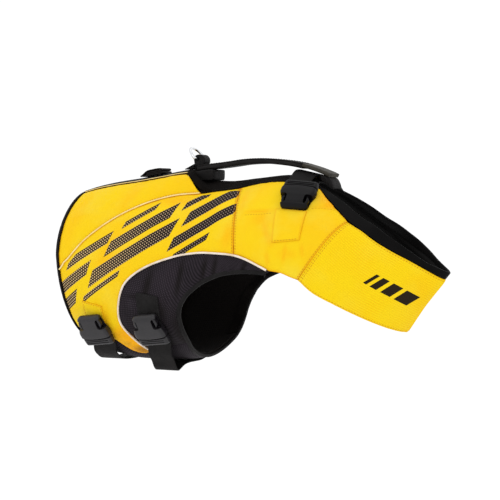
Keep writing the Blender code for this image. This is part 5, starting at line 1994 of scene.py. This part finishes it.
def make_lights():
    bpy.context.scene.view_settings.view_transform = "Standard"
    world = bpy.data.worlds.new("studio")
    bpy.context.scene.world = world
    world.use_nodes = True
    background = world.node_tree.nodes["Background"]
    background.inputs["Color"].default_value = (1, 1, 1, 1)
    background.inputs["Strength"].default_value = 1.0
    make_light("key", (0.2, -2.3, 1.8), (1.2, 1.2), 7)
    make_light("fill", (2.4, -1.0, 0.7), (1.6, 1.6), 1.5)
    make_light("top", (-0.3, 0.2, 2.2), (1.6, 1.6), 3)
    make_light("far", (0.4, 2.4, 0.9), (1.8, 1.2), 1.5)


# ---------------------------------------------------------------- assembly

def laid_on(under, rows, side):
    """Points and normals of a row of x, z places on a made piece."""
    dropped = trunk_surface(under)
    found = [dropped(x, turn, side) for x, turn in edge(flank_line(rows), 40)]
    return [np.array(row) for row in zip(*[pair for pair in found if pair[0] is not None])]


# hems of the shoulder panel's upper cloth, as x, z
SHOULDER_HEMS = [
    [(106, -64.4), (132, -63.2), (150, -61.8)], [(202, -56.0), (226, -56.2), (243, -57.0)],
]


def stitch_panels(made, dark, gold):
    """Seam rows of one flank."""
    gold.hems(made["side"], end=2.2, start=2.2)
    gold.hems(made["shoulder"], start=2.2, end=2.2)
    gold.hems(made["shoulder"], start=4.6)
    gold.hems(made["back"], high=2.6, low=2.2)
    dark.hems(made["neoprene"], high=2.6, low=2.2)


def dress_flank(side, looks, gold, dark, shape):
    """Everything on one side; gives the frames of its two belly buckles."""
    tag = tag_of(side)
    made = make_flank(side, looks)
    make_pipings(side, looks["piping"], looks["cream"])
    make_leg_trim(side, looks["lining"])
    stitch_panels(made, dark, gold)
    corners = [(x, turn - 2.2) for x, turn in COVER[:2]] + COVER[2:]
    cover = patch("shoulder_cover_" + tag, "strap_cover_front_" + tag, corners, side,
                  made["shoulder"][0], looks["nylon"], bulge=1.0)
    gold.hems(cover, end=2.0)
    for rows in SHOULDER_HEMS:
        gold.row(*laid_on(made["shoulder"][0], rows, side))
    node = "shoulder_buckle_" + tag
    make_buckle(node, buckle_frame(*SHOULDER_BUCKLE[side], side, node), True, shape,
                looks["shaded_dull_plastic"])
    frames = {}
    for end, (x, turn, rise, lean), node, look, panel, level, thread in (
            ("rear", REAR_BUCKLE, "strap_cover_rear_", "nylon", "side", 1.5, gold),
            ("front", FRONT_BUCKLE, "strap_tab_", "webbing", "neoprene", 5.0, dark)):
        half = WEBBING_WIDTH / 2
        high, low = turn - rise, turn + 4
        corners = [(x - half, high - 0.5), (x + half, high - level), (x + half, low),
                   (x - half, low)]
        tab = patch(node + tag + "_cloth", node + tag, corners, side, made[panel][0],
                    looks[look])
        thread.hems(tab, start=1.8, low=1.8, high=1.8)
        node = "belly_buckle_%s_%s" % (end, tag)
        frames[end, side] = buckle_frame(x, turn, lean, side, node)
        make_buckle(node, frames[end, side], False, shape, looks["plastic"])
    return frames


def plain(box):
    return [[float(v) for v in corner] for corner in box]


def main():
    webbing, lining = webbing_finish(), lining_finish()
    looks = {
        "nylon": nylon_finish(), "printed": printed_finish(), "band": band_finish(),
        "neoprene": neoprene_finish(), "lining": lining, "webbing": webbing,
        "plastic": plastic_finish(),
        # the shoulder buckles' plastic: darker, which is painted shade, and less glossy
        "shaded_dull_plastic": plastic_finish("black_shaded_dull_plastic", 0.3, 0.14),
        "piping": piping_finish(),
        "cream": piping_finish("cream_piping_tape", (0.91, 0.75, 0.34), (0.86, 0.62, 0.20)),
        "grip": grip_finish(),
    }
    gold = Thread("yellow_stitches",
                  thread_finish("yellow_thread", "nylon", (0.50, 0.19, 0.004)))
    dark = Thread("black_stitches",
                  thread_finish("black_thread", "webbing", (0.010, 0.009, 0.010)))
    shape = buckle_shape()
    frames = {}
    for side in (RIGHT, LEFT):
        frames.update(dress_flank(side, looks, gold, dark, shape))
    make_back_lining(lining)
    make_belly(looks["neoprene"])
    chest = make_band(looks)
    gold.hems(chest, low=2.4, high=2.4)
    for name in ("start", "end"):
        gold.hems(chest, **{name: 2.2})
        gold.hems(chest, **{name: 4.8})
    make_collar(collar_finish())
    make_rear_binding(webbing, dark)
    make_leg_binding(webbing)
    dark.hems(make_spine(webbing), low=2.0, high=2.0)
    dark.hems(make_saddle(lining), low=3.0, high=3.0)
    make_belly_strap("rear", REAR_STRAP, REAR_STRAP_BACK, frames, webbing)
    make_belly_strap("front", FRONT_STRAP, FRONT_STRAP_BACK, frames, webbing)
    make_shoulder_strap(webbing)
    make_handle(looks, dark)
    make_wrap(lining)
    for side in (RIGHT, LEFT):
        make_spine_edging(side, looks["cream"])
    slab("handle_foot_webbing", "handle_foot", HANDLE_FOOT, 14, webbing)
    slab("handle_anchor_webbing", "handle_anchor", ANCHOR, 18, webbing)
    slab("ring_tail_webbing", "ring_tail", RING_TAIL, 8.5, webbing, 0.6)
    make_ring_post(webbing)
    make_leash_ring(metal_finish())
    make_keeper(webbing)
    gold.finish()
    dark.finish()
    make_stage()
    make_lights()
    make_camera()


main()
{"cad": plain(CAD_BOX), "scene": plain(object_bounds())}
